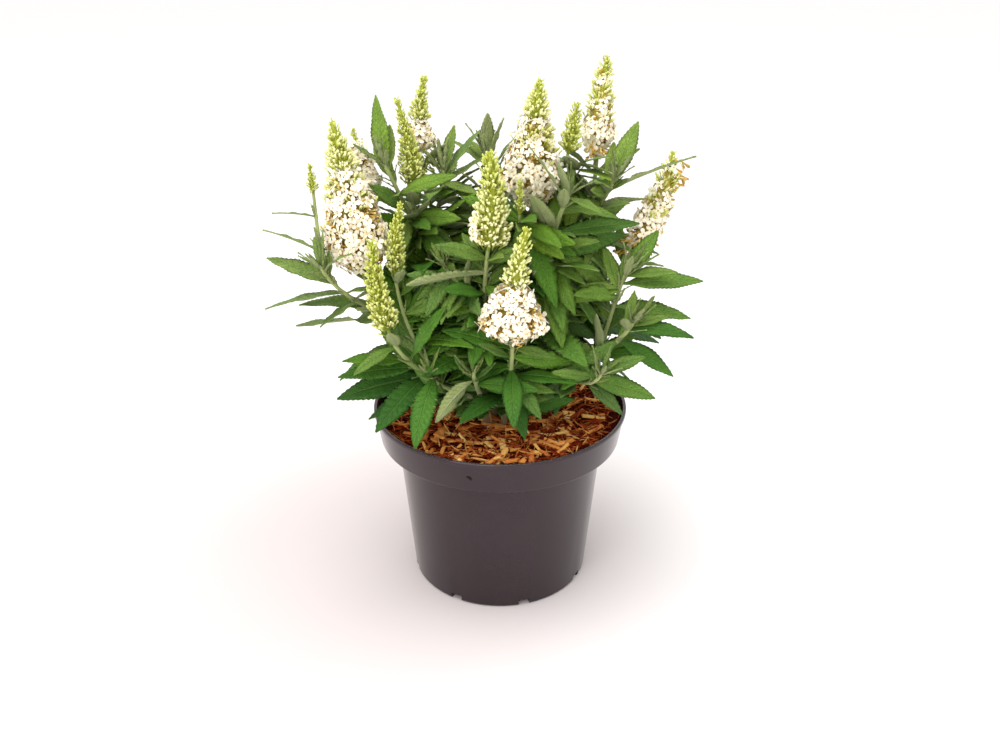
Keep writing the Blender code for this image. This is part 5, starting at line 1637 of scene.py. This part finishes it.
def fit_leaf(axis, row, thicket):
    """Seat a leaf the first way that stands clear; gives back a list with it, or an empty one."""
    share, heading, rise, length, curl, roll = row
    way = axis.frame(share)[1]
    for size, lift, turn in LEAF_TRIES:
        along, face = leaf_frame(heading + math.radians(turn), rise + math.radians(lift), way, roll)
        found = axis.free_seat(share, along)
        if not found or along.dot(axis.facing(*found)) < LEAST_FACING:
            continue
        shape = (axis.root(*found), along, face, length * size, curl, roll * TWIST_OF_ROLL)
        plain = blade(*shape, neck=True)
        if thicket.is_clear(blade(*shape, grow=LEAF_CLEARANCE, neck=True), plain, axis.node):
            if axis.take_seat(*found, blade(*shape)):
                thicket.add(*plain, axis.node)
                return [(axis, found[0], shape, PLAIN)]
    return []


def fits_in(thicket, shape):
    """Add a leaf's blade beyond its neck to the thicket, where it stands clear of everything."""
    points, faces = blade(*shape, grow=FILL_TRIM, neck=True)
    trimmed = (points[4:], [tuple(i - 4 for i in face) for face in faces if min(face) >= 4])
    if not thicket.is_clear(trimmed, trimmed):
        return False
    thicket.add(*trimmed)
    return True


def wanted_leaves(axes, thicket, draw):
    """Broad leaves where the bush would otherwise be seen through, as near to the place as stands clear."""
    added = []
    for name, share, tip in WANTED_LEAVES:
        axis = axes[name]
        for turn in range(WANTED_TRIES):
            loose = turn / WANTED_TRIES
            at = min(WANTED_HIGHEST, share + draw.uniform(-WANTED_SLIDE, WANTED_SLIDE) * loose)
            place = axis.frame(at)[0]
            moved = Vector([draw.uniform(-WANTED_LOOSE, WANTED_LOOSE) * loose for _ in range(3)])
            reach = (Vector(tip) + moved) * MM - place
            along = reach.normalized()
            foot = place + along * axis.radius(at) * LEAF_START
            length = reach.length * (1 - WANTED_SHORTER * loose)
            shape = (foot, along, squared(WANTED_FACE, along), length, WANTED_CURL, 0.0)
            if fits_in(thicket, shape):
                added.append((axis, at, shape, PLAIN))
                break
    return added


def fill_leaves(axes, thicket, draw):
    """More leaves of the same kind in the gaps low down and inside, clear of all the others."""
    added = []
    for axis in axes.values():
        for turn in range(FILL_TRIES):
            at = draw.uniform(*FILL_SHARES)
            place, way = axis.frame(at)[:2]
            heading = draw.uniform(0, math.tau)
            rise = math.radians(draw.uniform(*FILL_RISES))
            outward = Vector((place.x, place.y - FILL_MIDDLE, 0.0)).normalized()
            roll = math.radians(draw.uniform(*FILL_ROLLS))
            along, face = leaf_frame(heading, rise, way + outward * FILL_OUTWARD, roll)
            longest = FILL_LONGEST - FILL_SHORTENED * turn / FILL_TRIES
            length = draw.uniform(longest * FILL_SPREAD, longest) * MM
            foot = place + along * axis.radius(at) * LEAF_START
            shape = (foot, along, face, length, draw.uniform(*FILL_CURLS), 0.0)
            tip = foot + along * length
            reach = math.hypot(tip.x, tip.y)
            if reach > FILL_REACH or tip.z < FILL_LOWEST + max(0.0, reach - FILL_FREE) * FILL_SLOPE:
                continue
            if fits_in(thicket, shape):
                added.append((axis, at, shape, INNER))
    return added


def grow_tufts(heap, axis, seats, draw):
    """Young narrow leaves: a rosette at a leafy tip, and small tufts over the seats."""
    spots = [(at, *SEAT_TUFT) for at in seats if at > TUFTS_FROM]
    if axis.shoot.name not in FLOWERING:
        spots.append((BLADE_END, *TIP_TUFT))
    for at, count, lengths in spots:
        place, way = bezier(axis.knots, at)
        first, second = square_to(way, axis.across)
        turn = draw.uniform(0, math.tau)
        for i in range(count):
            out = swung(first, second, turn + i * GOLDEN_ANGLE)
            along = swung(out, way, math.radians(draw.uniform(*TUFT_RISES))).normalized()
            face = squared((squared(way, along) - out * TUFT_OPEN).normalized(), along)
            length = draw.uniform(*lengths) * MM
            foot = place + out * axis.radius(at) * TUFT_FOOT
            shape = (foot, along, face, length, draw.uniform(*TUFT_CURLS), 0.0)
            if (foot + along * length).z < LEAF_LOWEST:
                continue
            tint = (*spot(draw, TUFT_TONES, TUFT_YOUTHS), 0.0)
            fine_leaf(heap, shape, place, tint, draw, YOUNG, draw.uniform(*TUFT_WIDTHS))


def stalk(heap, axis, seats):
    """The stalk along the shoot's curve, squarish, with a swelling at each seat."""
    shares = np.linspace(0.0, 1.0, STALK_POINTS)
    line = [bezier(axis.knots, share)[0] for share in shares]
    seats = np.array(sorted(seats) or NO_SEATS)
    nearest = np.abs(shares[:, None] - seats[None, :]).min(axis=1) * axis.length
    swell = 1.0 + SWELLING * np.exp(-((nearest / SWELLING_LENGTH) ** 2))
    radii = np.array([axis.radius(share) for share in shares]) * STALK_SLIMNESS * swell
    youth, gain = SIDE_YOUTH if axis.side_shoot else MAIN_YOUTH
    young = youth + gain * shares
    if not axis.side_shoot:
        lean = foot_direction(axis.shoot.start)
        foot = foot_point(axis.shoot.start)
        line = [foot - lean * STALK_SUNK * MM, foot, foot + lean * STEM_STRAIGHT * 0.5] + line
        radii = np.concatenate([[STEM_FOOT_RADIUS * STALK_FOOT] * 3, radii])
        young = np.concatenate([FOOT_YOUTHS, young])
    tints = np.column_stack([np.full(len(young), 0.5), young, np.zeros(len(young))])
    roll = math.radians(axis.shoot.roll - 45)
    sweep(heap, line, radii, STALK, tints, STALK_CORNERS, STALK_SQUARENESS, roll, axis.across)


def make_foliage(axes, leaves, finishes):
    """One piece for each leafy stem of the frame."""
    draw = random.Random(SEED + 2)
    heaps = {}
    for axis in axes.values():
        heap = heaps.setdefault(axis.node, Heap())
        seats = [at for at, _ in axis.seats]
        stalk(heap, axis, seats)
        grow_tufts(heap, axis, seats, draw)
    for axis, at, shape, detail in leaves:
        shoot = axis.shoot.name
        key = (shoot, round(shape[3] / MM))
        tint = leaf_tint(draw, shape, detail, PALE_LEAVES.get(key, YOUNG_SHOOTS.get(shoot, 0.0)))
        turned = math.radians(TURNED_LEAVES[key]) if key in TURNED_LEAVES else front_roll(shoot, shape)
        root = bezier(axis.knots, at)[0]
        fine_leaf(heaps[axis.node], shape, root, tint, draw, detail, turned=turned)
    for node, heap in heaps.items():
        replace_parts(heap.piece("foliage_" + node, finishes, "leaf_and_stem"), "stem_" + node)


# Flower spikes

# Degrees from a notch and millimetres from the middle, for one lobe of an open floret
LOBE_OUTLINE = ((0, 1.5), (17, 3.5), (34, 4.5), (56, 4.5), (73, 3.5))
LIMB_ROWS = ((0.0, -1.1), (0.0, 0.0), (0.5, 0.3), (1.0, 0.0))
THROAT_RADII = (0.3, 0.48)
TUBE_PROFILE = ((0.5, -8.0), (0.75, -6.6), (0.45, -5.6), (0.55, -2.5), (0.5, -0.1))
FLORET_KINDS = 8
LOBES, TUBE_SIDES = 4, 5
LOBE_TURN = 360 / LOBES
LOBE_SIZES, LOBE_CUPS = (0.9, 1.06), (-0.9, 0.7)
FLORET_TIPPED = 0.8
# Older florets sit low on a spike and are creamier, partly as they fade and partly as painted warm light in
# the shade there
# A floret's tone when it is fresh, how much it fades, and how much it varies
FRESH_TONE, FADING, TONE_CHANGE = 0.75, 0.5, 0.22
# Millimetres of radius at a share of a bud's length
CLUB_PROFILE = ((0.42, 0.0), (0.45, 0.42), (0.6, 0.64), (0.92, 0.81), (0.88, 0.93), (0.46, 1.0))
CLUB_WIDTHS = (0.88, 1.0, 1.1)
CLUB_SIDES = 5
CLUB_LENGTH = 7.4 * MM
CUP_LENGTH = 6 * MM
AREA_PER_BUD = 9.0 * MM * MM
AREA_PER_FLORET = 25.0 * MM * MM
BUD_TIER = 5.6 * MM
BUDS_FROM, BUDS_TO = 0.05, 0.985
SLEEVE_MARGIN = 0.03
SPOT_STEPS = 60
CORE_POINTS, CORE_SIDES = 20, 9
CORE_THINNEST, CORE_ENDS, CORE_SQUARENESS = 0.5 * MM, 0.4, 0.2
CORE_TINT, SPIKE_STALK_TINT = (0.3, 0.0, 0.0), (0.2, 0.0, 0.0)
SPIKE_STALK_POINTS, SPIKE_STALK_TO = 16, 0.97
# How many gaps a spike stands off its stalk's tip
SPIKE_GAPS = 1.3
BUNCHES = 6
BUNCH_SPREAD = 0.25
TIER_MIDDLE, TIER_SPREAD, HIGHEST_TIER = 0.6, 0.24, 0.99
# A bud's size on the thinnest spike, and what each millimetre of the spike's reach adds
LEAST_BUD, BUD_GROWTH = 0.46, 0.07
# Radians that buds stray from their way, and how far up they point
BUD_STRAY, BUD_UPWARD = 0.38, 0.7
BUD_REACHES, BUD_SLIDES, BUD_TONES = (0.66, 1.06), (0, 2.4), (0.1, 0.95)
BUD_LENGTHS, BUD_WIDTHS = (0.82, 1.12), (0.85, 1.1)
RIPE_AT_FOOT, RIPE_SPREAD = 1.1, 0.16
# A bud between two tiers: length, width, tone and ripeness as shares of its neighbour's
INNER_BUD = (0.6, 0.75, 0.6, 0.5)
INNER_BUD_STRAY, INNER_BUD_REACHES = 1.2, (0.45, 0.68)
# A value for an unripe spike, and what full ripeness adds to it
TIER_SPACING, BUD_SPACING = (1.35, -0.35), (0.66, 0.34)
BUD_SIZE, BUD_CORE = (0.8, 0.2), (0.22, 0.16)
SLEEVE_CORE = 0.42
# Radians that take a way anywhere on its side of a spike
ANYWHERE = 1.5
# Buds in a floret's place: how many, their stray in radians, their reach, and millimetres apart
MIXED_BUDS, MIXED_STRAY, MIXED_REACHES, MIXED_APART = 4, 0.35, (0.7, 1.08), 2.5
MIXED_TONES, MIXED_RIPE = (0.3, 1.0), (0.2, 0.9)
# Cups in a hole between florets, and the millimetres that they stand back there and under a floret
HOLE_CUPS, HOLE_DEPTHS, CUP_DEPTHS = 4, (1.2, 3.6), (3.0, 5.0)
CUP_STRAY, CUP_APART, CUP_WIDTHS = 0.6, 3, (0.6, 0.85)
# Florets that close a sleeve at its foot and at its top
FOOT_FLORETS, TOP_FLORETS = 7, 5
CUP_TINT = (0.6, 0.5, 0.0)
MIXED_FROM, MIXED_GAIN = 0.45, 2.2
SLOPE_STEP = 0.05
FLORET_SUNK = 0.8 * MM
LUMP_DEPTH, LUMP_LEVEL = 2.2 * MM, 0.4
# Spots along a stretch: the fewest, how far each may slip, and how far it may turn
FEWEST_SPOTS, SPOT_SLIP, SPOT_TURN = 6, (0.1, 0.9), (-0.2, 0.2)
HOLE_NOISE = 105.0
HOLE_LEVEL = 0.36
LUMP_NOISE = 150.0
BUD, GOLD_BUD = 0, 1
PETAL, CUP, THROAT, OTHER_BUD = 0, 1, 2, 3
# By spike: how many buds stand among its florets, how wide its green top starts, how ripe its buds
# are, what share of them is golden, and how far apart its florets stand
MIXED = {"right_back": 1.3, "right": 1.1, "centre": 0.5, "left_tall": 0.5}
FLARE = {"left_tall": 1.5, "left_back": 1.4, "centre": 1.3, "right_back": 1.2}
RIPENESS = {
    "centre_front": 1.0, "front": 0.9, "centre": 0.9, "left_tall": 0.9, "left_bud": 0.1, "left_behind": 1.0,
    "right": 0.9,
}
USUAL_RIPENESS = 0.45
GOLDEN = {"right": 0.4, "right_back": 0.06, "left_behind": 0.1}
SPARSE = {"right": 1.35, "right_back": 1.35}
# A smaller cluster that shows behind the tall one on the left
LEFT_BEHIND = Spike("left_behind", (-102, 25, 340), (-1, 0), 0.8, 12, False, 7)
LEFT_BEHIND_FOOT = Vector((-91, 20, 292)) * MM
LEFT_BEHIND_FROM = 0.72
LEFT_BEHIND_BEND = 20 * MM
BEND_POINTS, BEND_WIDTHS, BEND_TINT = 12, (1.25, 0.9), (0.5, 0.8, 0.0)
BEND_LEAF_TINT, BEND_LEAF_CURL = (0.6, 0.45, 0.0), 0.15
# Share of the stalk, heading, rise and length
LEFT_BEHIND_LEAVES = ((0.45, 150, 10, 30), (0.5, 60, 18, 34), (0.95, 205, 12, 26), (0.97, 100, 24, 30))
EARLY_FLORETS = 10
# Shares of the spike's line, heading and spread in degrees, how far out, and age
EARLY_SHARES, EARLY_HEADING, EARLY_REACHES, EARLY_AGE = (0.07, 0.36), (202, 30), (0.8, 1.0), 0.3
LOOSE_REACHES, LOOSE_LENGTHS, SHORTEST_LOOSE = (0.55, 1.15), (0.4, 0.8), 4 * MM
# Spike, how many, shares of its line, heading and spread about it in degrees, finish
LOOSE_BUNCHES = (
    ("right", 60, (-0.06, 0.16), 215, 60, GOLD_BUD),
    ("right", 16, (0.6, 0.88), 350, 35, GOLD_BUD),
    ("right_back", 22, (0.0, 0.1), 290, 50, GOLD_BUD),
    ("back_left", 22, (0.0, 0.12), 215, 40, GOLD_BUD),
    ("back_left", 46, (-0.34, -0.06), 300, 70, BUD),
)


def floret_template(draw):
    """An open floret in millimetres, facing +Z: four rounded lobes round a throat, on a slender tube."""
    size = draw.uniform(*LOBE_SIZES)
    lobes = spot(draw, *[LOBE_SIZES] * LOBES)
    cups = spot(draw, *[LOBE_CUPS] * LOBES)
    outline = [(lobe, angle, reach) for lobe in range(LOBES) for angle, reach in LOBE_OUTLINE]
    count = len(outline)
    points, places = [], []
    for row, (share, lift) in enumerate(LIMB_ROWS):
        inner = THROAT_RADII[min(row, 1)]
        for lobe, angle, reach in outline:
            across = (inner + (reach * lobes[lobe] - inner) * share) * size
            height = lift + cups[lobe] * share * share * math.sin(math.radians(angle * 2))
            points.append((*polar(across, math.radians(lobe * LOBE_TURN + angle)), height))
            places.append((angle / LOBE_TURN, max(0.0, (row - 1) / 2), 0.0))
    rings = len(LIMB_ROWS)
    points.append((0.0, 0.0, LIMB_ROWS[0][1]))
    places.append((0.0, 0.0, 0.0))
    faces, skins = [], []
    for i in range(count):
        faces.append((rings * count, i, (i + 1) % count))
        skins.append(THROAT)
        for row in range(rings - 1):
            a, b, c, d = quad(row, i, count)
            faces += [(a, d, c), (a, c, b)]
            skins += [PETAL if row else THROAT] * 2
    tube = turned_template(TUBE_PROFILE, TUBE_SIDES)
    faces = np.vstack([faces, tube[1] + len(points)])
    skins = np.concatenate([skins, np.full(len(tube[1]), CUP)])
    return np.vstack([points, tube[0]]), faces, skins, np.vstack([places, tube[3]])


def scatter_way(out, spread, draw):
    """A way near the given one, up to the spread from it."""
    side = out.orthogonal().normalized()
    turn = Matrix.Rotation(draw.uniform(0, math.tau), 3, out)
    return swung(out, turn @ side, spread * math.sqrt(draw.random())).normalized()


def at_span(line, span, share):
    """The spike's frame at a share of a stretch of its line."""
    return spike_frame(line, span[0] + (span[1] - span[0]) * share)


def ripened(change, ripeness):
    """A value for an unripe spike with what its ripeness adds."""
    return change[0] + change[1] * ripeness


def span_length(line, span):
    """How long a stretch of a spike is, measured straight from its foot to its tip."""
    return (line[2] - line[0]).length * (span[1] - span[0])


def spots_round(line, span, radius, area, draw):
    """Even spots over a turned surface: the share, the axis point, its way, the way out, the radius."""
    widths = [radius((i + 0.5) / SPOT_STEPS) for i in range(SPOT_STEPS)]
    number = max(FEWEST_SPOTS, round(sum(widths) * math.tau * span_length(line, span) / SPOT_STEPS / area))
    done, row = widths[0], 0
    for k in range(number):
        goal = sum(widths) * (k + draw.uniform(*SPOT_SLIP)) / number
        while done < goal and row < SPOT_STEPS - 1:
            row += 1
            done += widths[row]
        share = (row + draw.random()) / SPOT_STEPS
        centre, way, across, back = at_span(line, span, share)
        out = swung(across, back, k * GOLDEN_ANGLE + draw.uniform(*SPOT_TURN))
        yield share, centre, way, out, radius(share)


class Bloom:
    """One spike as it is built: its line, its heap, and the buds and florets that it is set with."""

    def __init__(self, spike, line, kit, draw):
        self.spike = spike
        self.line = line
        self.clubs, self.florets = kit
        self.draw = draw
        self.heap = Heap()

    def club(self, tip, way, length, wide, skin, tint):
        """One slender bud with its head at the tip."""
        points, faces, _, places = self.draw.choice(self.clubs)
        turn = turn_to(way, None, (wide, wide, length))
        self.heap.stamp((points, faces, skin, places), tip - way * length, turn, tint)

    def floret(self, place, facing, age):
        """One open floret, spun and tipped by its own draw; the older it is, the creamier, partly by fading
        and partly as painted warm light in shade.
        """
        turn = turn_to(scatter_way(facing, FLORET_TIPPED, self.draw), self.draw.uniform(0, math.tau))
        tone = clamp(self.draw.gauss(FRESH_TONE - FADING * age, TONE_CHANGE))
        self.heap.stamp(self.draw.choice(self.florets), place, turn * MM, (tone, 0.5, 0.0))

    def core(self, span, radius, share_wide, skin, tint):
        """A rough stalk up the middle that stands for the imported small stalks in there."""
        shares = np.linspace(0.0, 1.0, CORE_POINTS)
        points = [at_span(self.line, span, share)[0] for share in shares]
        radii = np.array([max(CORE_THINNEST, radius(share) * share_wide) for share in shares])
        radii[[0, -1]] *= CORE_ENDS
        tints = np.tile(tint, (CORE_POINTS, 1))
        sweep(self.heap, points, radii, skin, tints, CORE_SIDES, CORE_SQUARENESS)

    def buds(self, finishes):
        """The green part: a stalk, and tiers of slender buds that point up and out."""
        spike, line, draw = self.spike, self.line, self.draw
        self.heap = Heap()
        span = (spike.open_to if spike.over_sleeve else BUDS_FROM, BUDS_TO)
        shares = np.linspace(0.0, SPIKE_STALK_TO, SPIKE_STALK_POINTS)
        points = [spike_frame(line, share)[0] for share in shares]
        radii = np.linspace(1.0, 0.5, SPIKE_STALK_POINTS) * STALK_RADIUS
        sweep(self.heap, points, radii, BUD, np.tile(SPIKE_STALK_TINT, (SPIKE_STALK_POINTS, 1)))
        ripeness = RIPENESS.get(spike.name, USUAL_RIPENESS)
        flare = FLARE.get(spike.name, 1.0)

        def reach(share):
            return bud_radius(spike, share) * (1.0 + (flare - 1.0) * (1.0 - share))

        self.core(span, reach, ripened(BUD_CORE, ripeness), BUD, CORE_TINT)
        tiers = max(3, round(span_length(line, span) / (BUD_TIER * ripened(TIER_SPACING, ripeness))))
        area = AREA_PER_BUD * ripened(BUD_SPACING, ripeness)
        for k, (share, *_) in enumerate(spots_round(line, span, reach, area, draw)):
            row = math.floor(share * tiers)
            tier = clamp((row + TIER_MIDDLE + draw.gauss(0, TIER_SPREAD)) / tiers, 0.0, HIGHEST_TIER)
            centre, way, across, back = at_span(line, span, tier)
            angle = (k % BUNCHES + row * 0.5) * math.tau / BUNCHES + draw.gauss(0, BUNCH_SPREAD)
            out = swung(across, back, angle)
            wide = reach(tier)
            lean = scatter_way((way * (BUD_UPWARD + tier) + out).normalized(), BUD_STRAY, draw)
            tip = centre + out * wide * draw.uniform(*BUD_REACHES) + way * draw.uniform(*BUD_SLIDES) * MM
            size = min(1.0, LEAST_BUD + BUD_GROWTH * wide / MM) * ripened(BUD_SIZE, ripeness)
            ripe = clamp(ripeness * (RIPE_AT_FOOT - tier) + draw.gauss(0, RIPE_SPREAD))
            tone = draw.uniform(*BUD_TONES)
            long = CLUB_LENGTH * size * draw.uniform(*BUD_LENGTHS)
            skin = GOLD_BUD if draw.random() < GOLDEN.get(spike.name, 0.0) else BUD
            self.club(tip, lean, long, size * draw.uniform(*BUD_WIDTHS), skin, (tone, ripe, 0.0))
            if k % 2:
                between = scatter_way((way + out).normalized(), INNER_BUD_STRAY, draw)
                tip = centre + between * wide * draw.uniform(*INNER_BUD_REACHES)
                long, size, tone, ripe = np.array((long, size, tone, ripe)) * INNER_BUD
                self.club(tip, between, long, size, BUD, (tone, ripe, 0.0))
        return self.heap.piece("buds_" + spike.name, finishes, "bud_green")

    def sleeve(self, finishes):
        """The white part: florets all round, with gold tubes and closed buds in the holes between."""
        spike, line, draw = self.spike, self.line, self.draw
        self.heap = Heap()
        span = (SLEEVE_MARGIN, spike.open_to - SLEEVE_MARGIN)
        length = span_length(line, span)

        def reach(share):
            return open_radius(spike, share)

        self.core(span, reach, SLEEVE_CORE, CUP, CUP_TINT)
        area = AREA_PER_FLORET * SPARSE.get(spike.name, 1.0)
        for share, centre, way, out, wide in spots_round(line, span, reach, area, draw):
            if draw.random() < MIXED.get(spike.name, 0.0) * max(0.0, share - MIXED_FROM) * MIXED_GAIN:
                lean = scatter_way((way + out * 0.9).normalized(), MIXED_STRAY, draw)
                tint = (*spot(draw, MIXED_TONES, MIXED_RIPE), 0.0)
                for _ in range(MIXED_BUDS):
                    tip = centre + out * wide * draw.uniform(*MIXED_REACHES)
                    tip = tip + scatter_way(way, ANYWHERE, draw) * MIXED_APART * MM
                    self.club(tip, lean, CLUB_LENGTH, 0.8, OTHER_BUD, tint)
                continue
            rise = reach(min(1.0, share + SLOPE_STEP)) - reach(max(0.0, share - SLOPE_STEP))
            slope = rise / (2 * SLOPE_STEP * length)
            facing = (out - way * clamp(slope, -1.0, 1.2) + way * 0.1).normalized()
            place = centre + out * (wide - FLORET_SUNK) + way * draw.uniform(-1.2, 1.2) * MM
            hole = noise.noise(place * HOLE_NOISE + RIGHT * (spike.open_to * 7)) > HOLE_LEVEL
            if not hole:
                lump = LUMP_DEPTH * (noise.noise(place * LUMP_NOISE) - LUMP_LEVEL)
                self.floret(place + facing * (lump - draw.random() ** 1.6 * 2.4 * MM), facing, 1 - share)
            for _ in range(HOLE_CUPS if hole else 1):
                deep = draw.uniform(*(HOLE_DEPTHS if hole else CUP_DEPTHS))
                tip = place + scatter_way(out, ANYWHERE, draw) * CUP_APART * MM - out * deep * MM
                lean = scatter_way((out + way * 0.3).normalized(), CUP_STRAY, draw)
                tint = (draw.random() ** 0.8, 0.5, 0.0)
                self.club(tip, lean, CUP_LENGTH, draw.uniform(*CUP_WIDTHS), CUP, tint)
        for end, number, sense in ((span[0], FOOT_FLORETS, -1), (span[1], TOP_FLORETS, 1)):
            centre, way, across, back = spike_frame(line, end)
            wide = reach(0.0 if sense < 0 else 1.0)
            for k in range(number):
                out = swung(across, back, k * math.tau / number + draw.uniform(-0.3, 0.3))
                place = centre + out * wide * draw.uniform(0.5, 0.8) + way * sense * MM
                self.floret(place, (out + way * sense * 0.9).normalized(), 0.5 - sense / 2)
        return self.heap.piece("florets_" + spike.name, finishes, "petal_white")

    def loose(self, heap, number, shares, heading, spread, skin, draw):
        """A small bunch low on the spike: florets gone gold and brown, or late green buds."""
        self.heap, self.draw = heap, draw
        for _ in range(number):
            centre, way, across, back = spike_frame(self.line, draw.uniform(*shares))
            out = swung(across, back, math.radians(draw.gauss(heading, spread)))
            reach = self.spike.widest * MM * draw.uniform(*LOOSE_REACHES)
            tip = centre + out * reach + way * draw.uniform(-2, 2) * MM
            lean = scatter_way((out - way * 0.5).normalized(), 0.6, draw)
            tint = (draw.random() ** 1.5 * 0.8, 0.4, 0.0)
            long = max(SHORTEST_LOOSE, reach * draw.uniform(*LOOSE_LENGTHS))
            self.club(tip, lean, long, draw.uniform(0.7, 1.1), skin, tint)

    def early(self, finishes):
        """A few florets that have opened low on the left of a spike that is still in bud."""
        self.heap = Heap()
        for _ in range(EARLY_FLORETS):
            share = self.draw.uniform(*EARLY_SHARES)
            centre, way, across, back = spike_frame(self.line, share)
            out = swung(across, back, math.radians(self.draw.gauss(*EARLY_HEADING)))
            place = centre + out * bud_radius(self.spike, share) * self.draw.uniform(*EARLY_REACHES)
            self.floret(place, (out + way * 0.1).normalized(), EARLY_AGE)
        self.heap.piece("early_florets", finishes, "petal_white")


def make_spikes(lines, kit, greens, whites):
    """Every spike of the frame with its buds and florets, and the loose bunches low on some.

    The last spike's draw goes on for the loose bunches, and is given back.
    """
    blooms = {}
    for spike in SPIKES:
        bloom = Bloom(spike, lines[spike.name], kit, random.Random(spike.name))
        blooms[spike.name] = bloom
        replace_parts(bloom.buds(greens), "spike_" + spike.name + "_buds")
        if spike.over_sleeve:
            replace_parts(bloom.sleeve(whites), "spike_" + spike.name + "_florets")
        if spike.name == "centre_front":
            bloom.early(whites)
    heap, draw = Heap(), blooms["right"].draw
    for name, *bunch in LOOSE_BUNCHES:
        blooms[name].loose(heap, *bunch, draw)
    heap.piece("loose_buds", greens, "bud_green")
    return draw


def cluster_behind(axes, kit, leafy, greens, whites, draw):
    """The smaller cluster behind the tall spike on the left, on a long bent stalk with small leaves."""
    start, lead = bezier(axes["left_tall"].knots, LEFT_BEHIND_FROM)
    foot = LEFT_BEHIND_FOOT
    knots = (start, start + lead * LEFT_BEHIND_BEND, foot - UP * LEFT_BEHIND_BEND, foot)
    heap = Heap()
    bend = [bezier(knots, share)[0] for share in np.linspace(0.0, 1.0, BEND_POINTS)]
    radii = np.linspace(*BEND_WIDTHS, BEND_POINTS) * STALK_RADIUS
    sweep(heap, bend, radii, STALK, np.tile(BEND_TINT, (BEND_POINTS, 1)))
    for share, heading, rise, length in LEFT_BEHIND_LEAVES:
        place, way = bezier(knots, share)
        along, face = leaf_frame(math.radians(heading), math.radians(rise), way)
        shape = (place, along, face, length * MM, BEND_LEAF_CURL, 0.0)
        fine_leaf(heap, shape, place, BEND_LEAF_TINT, draw, INNER)
    heap.piece("stalk_left_behind", leafy, "leaf_and_stem")
    line = spike_line(LEFT_BEHIND, foot)
    bloom = Bloom(LEFT_BEHIND, line, kit, draw)
    bloom.buds(greens)
    bloom.sleeve(whites)
    return spike_hull(LEFT_BEHIND, line)


# The whole


def main():
    """Load the frame, give every piece its looks, and light the studio."""
    for obj in tuple(bpy.data.objects):
        bpy.data.objects.remove(obj, do_unlink=True)
    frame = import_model()
    make_mottle()
    make_veins()
    make_fibres()
    compost = soil_finish()
    root_ball = frame["nodes"]["root_ball"]
    root_ball.data.materials.clear()
    root_ball.data.materials.append(compost)
    make_pot(plastic_finish())
    make_bark(bark_finish())
    make_crumb(compost)

    thicket = Thicket()
    nodes, routes = lay_routes()
    axes = {shoot.name: Axis(shoot, nodes[shoot.name], routes[shoot.name]) for shoot in SHOOTS}
    for axis in axes.values():
        thicket.add(*axis.mesh(grow=GAP), axis.node)
    lines = {}
    for spike in SPIKES:
        tip = routes[spike.name][3]
        direct = spike_line(spike, tip)
        start = tip + (direct[1] - direct[0]).normalized() * GAP * SPIKE_GAPS
        lines[spike.name] = spike_line(spike, start)
        thicket.add(*spike_hull(spike, lines[spike.name]), "spike_" + spike.name)
    leaves = grow_leaves(axes, thicket)

    leafy = [upper_leaf_finish(), lower_leaf_finish(), stalk_finish()]
    bud, gold = bud_finish(), tube_finish()
    greens, whites = [bud, gold], [petal_finish(), gold, throat_finish(), bud]
    profiles = [[(radius * wide * MM, at) for radius, at in CLUB_PROFILE] for wide in CLUB_WIDTHS]
    clubs = [turned_template(profile, CLUB_SIDES) for profile in profiles]
    draw = random.Random(SEED)
    kit = (clubs, [floret_template(draw) for _ in range(FLORET_KINDS)])
    draw = make_spikes(lines, kit, greens, whites)
    thicket.add(*cluster_behind(axes, kit, leafy, greens, whites, draw))
    leaves += wanted_leaves(axes, thicket, random.Random(SEED + 3))
    leaves += fill_leaves(axes, thicket, random.Random(SEED + 1))
    make_foliage(axes, leaves, leafy)

    lay_floor(paper_finish())
    set_up_camera()
    light_studio()


main()
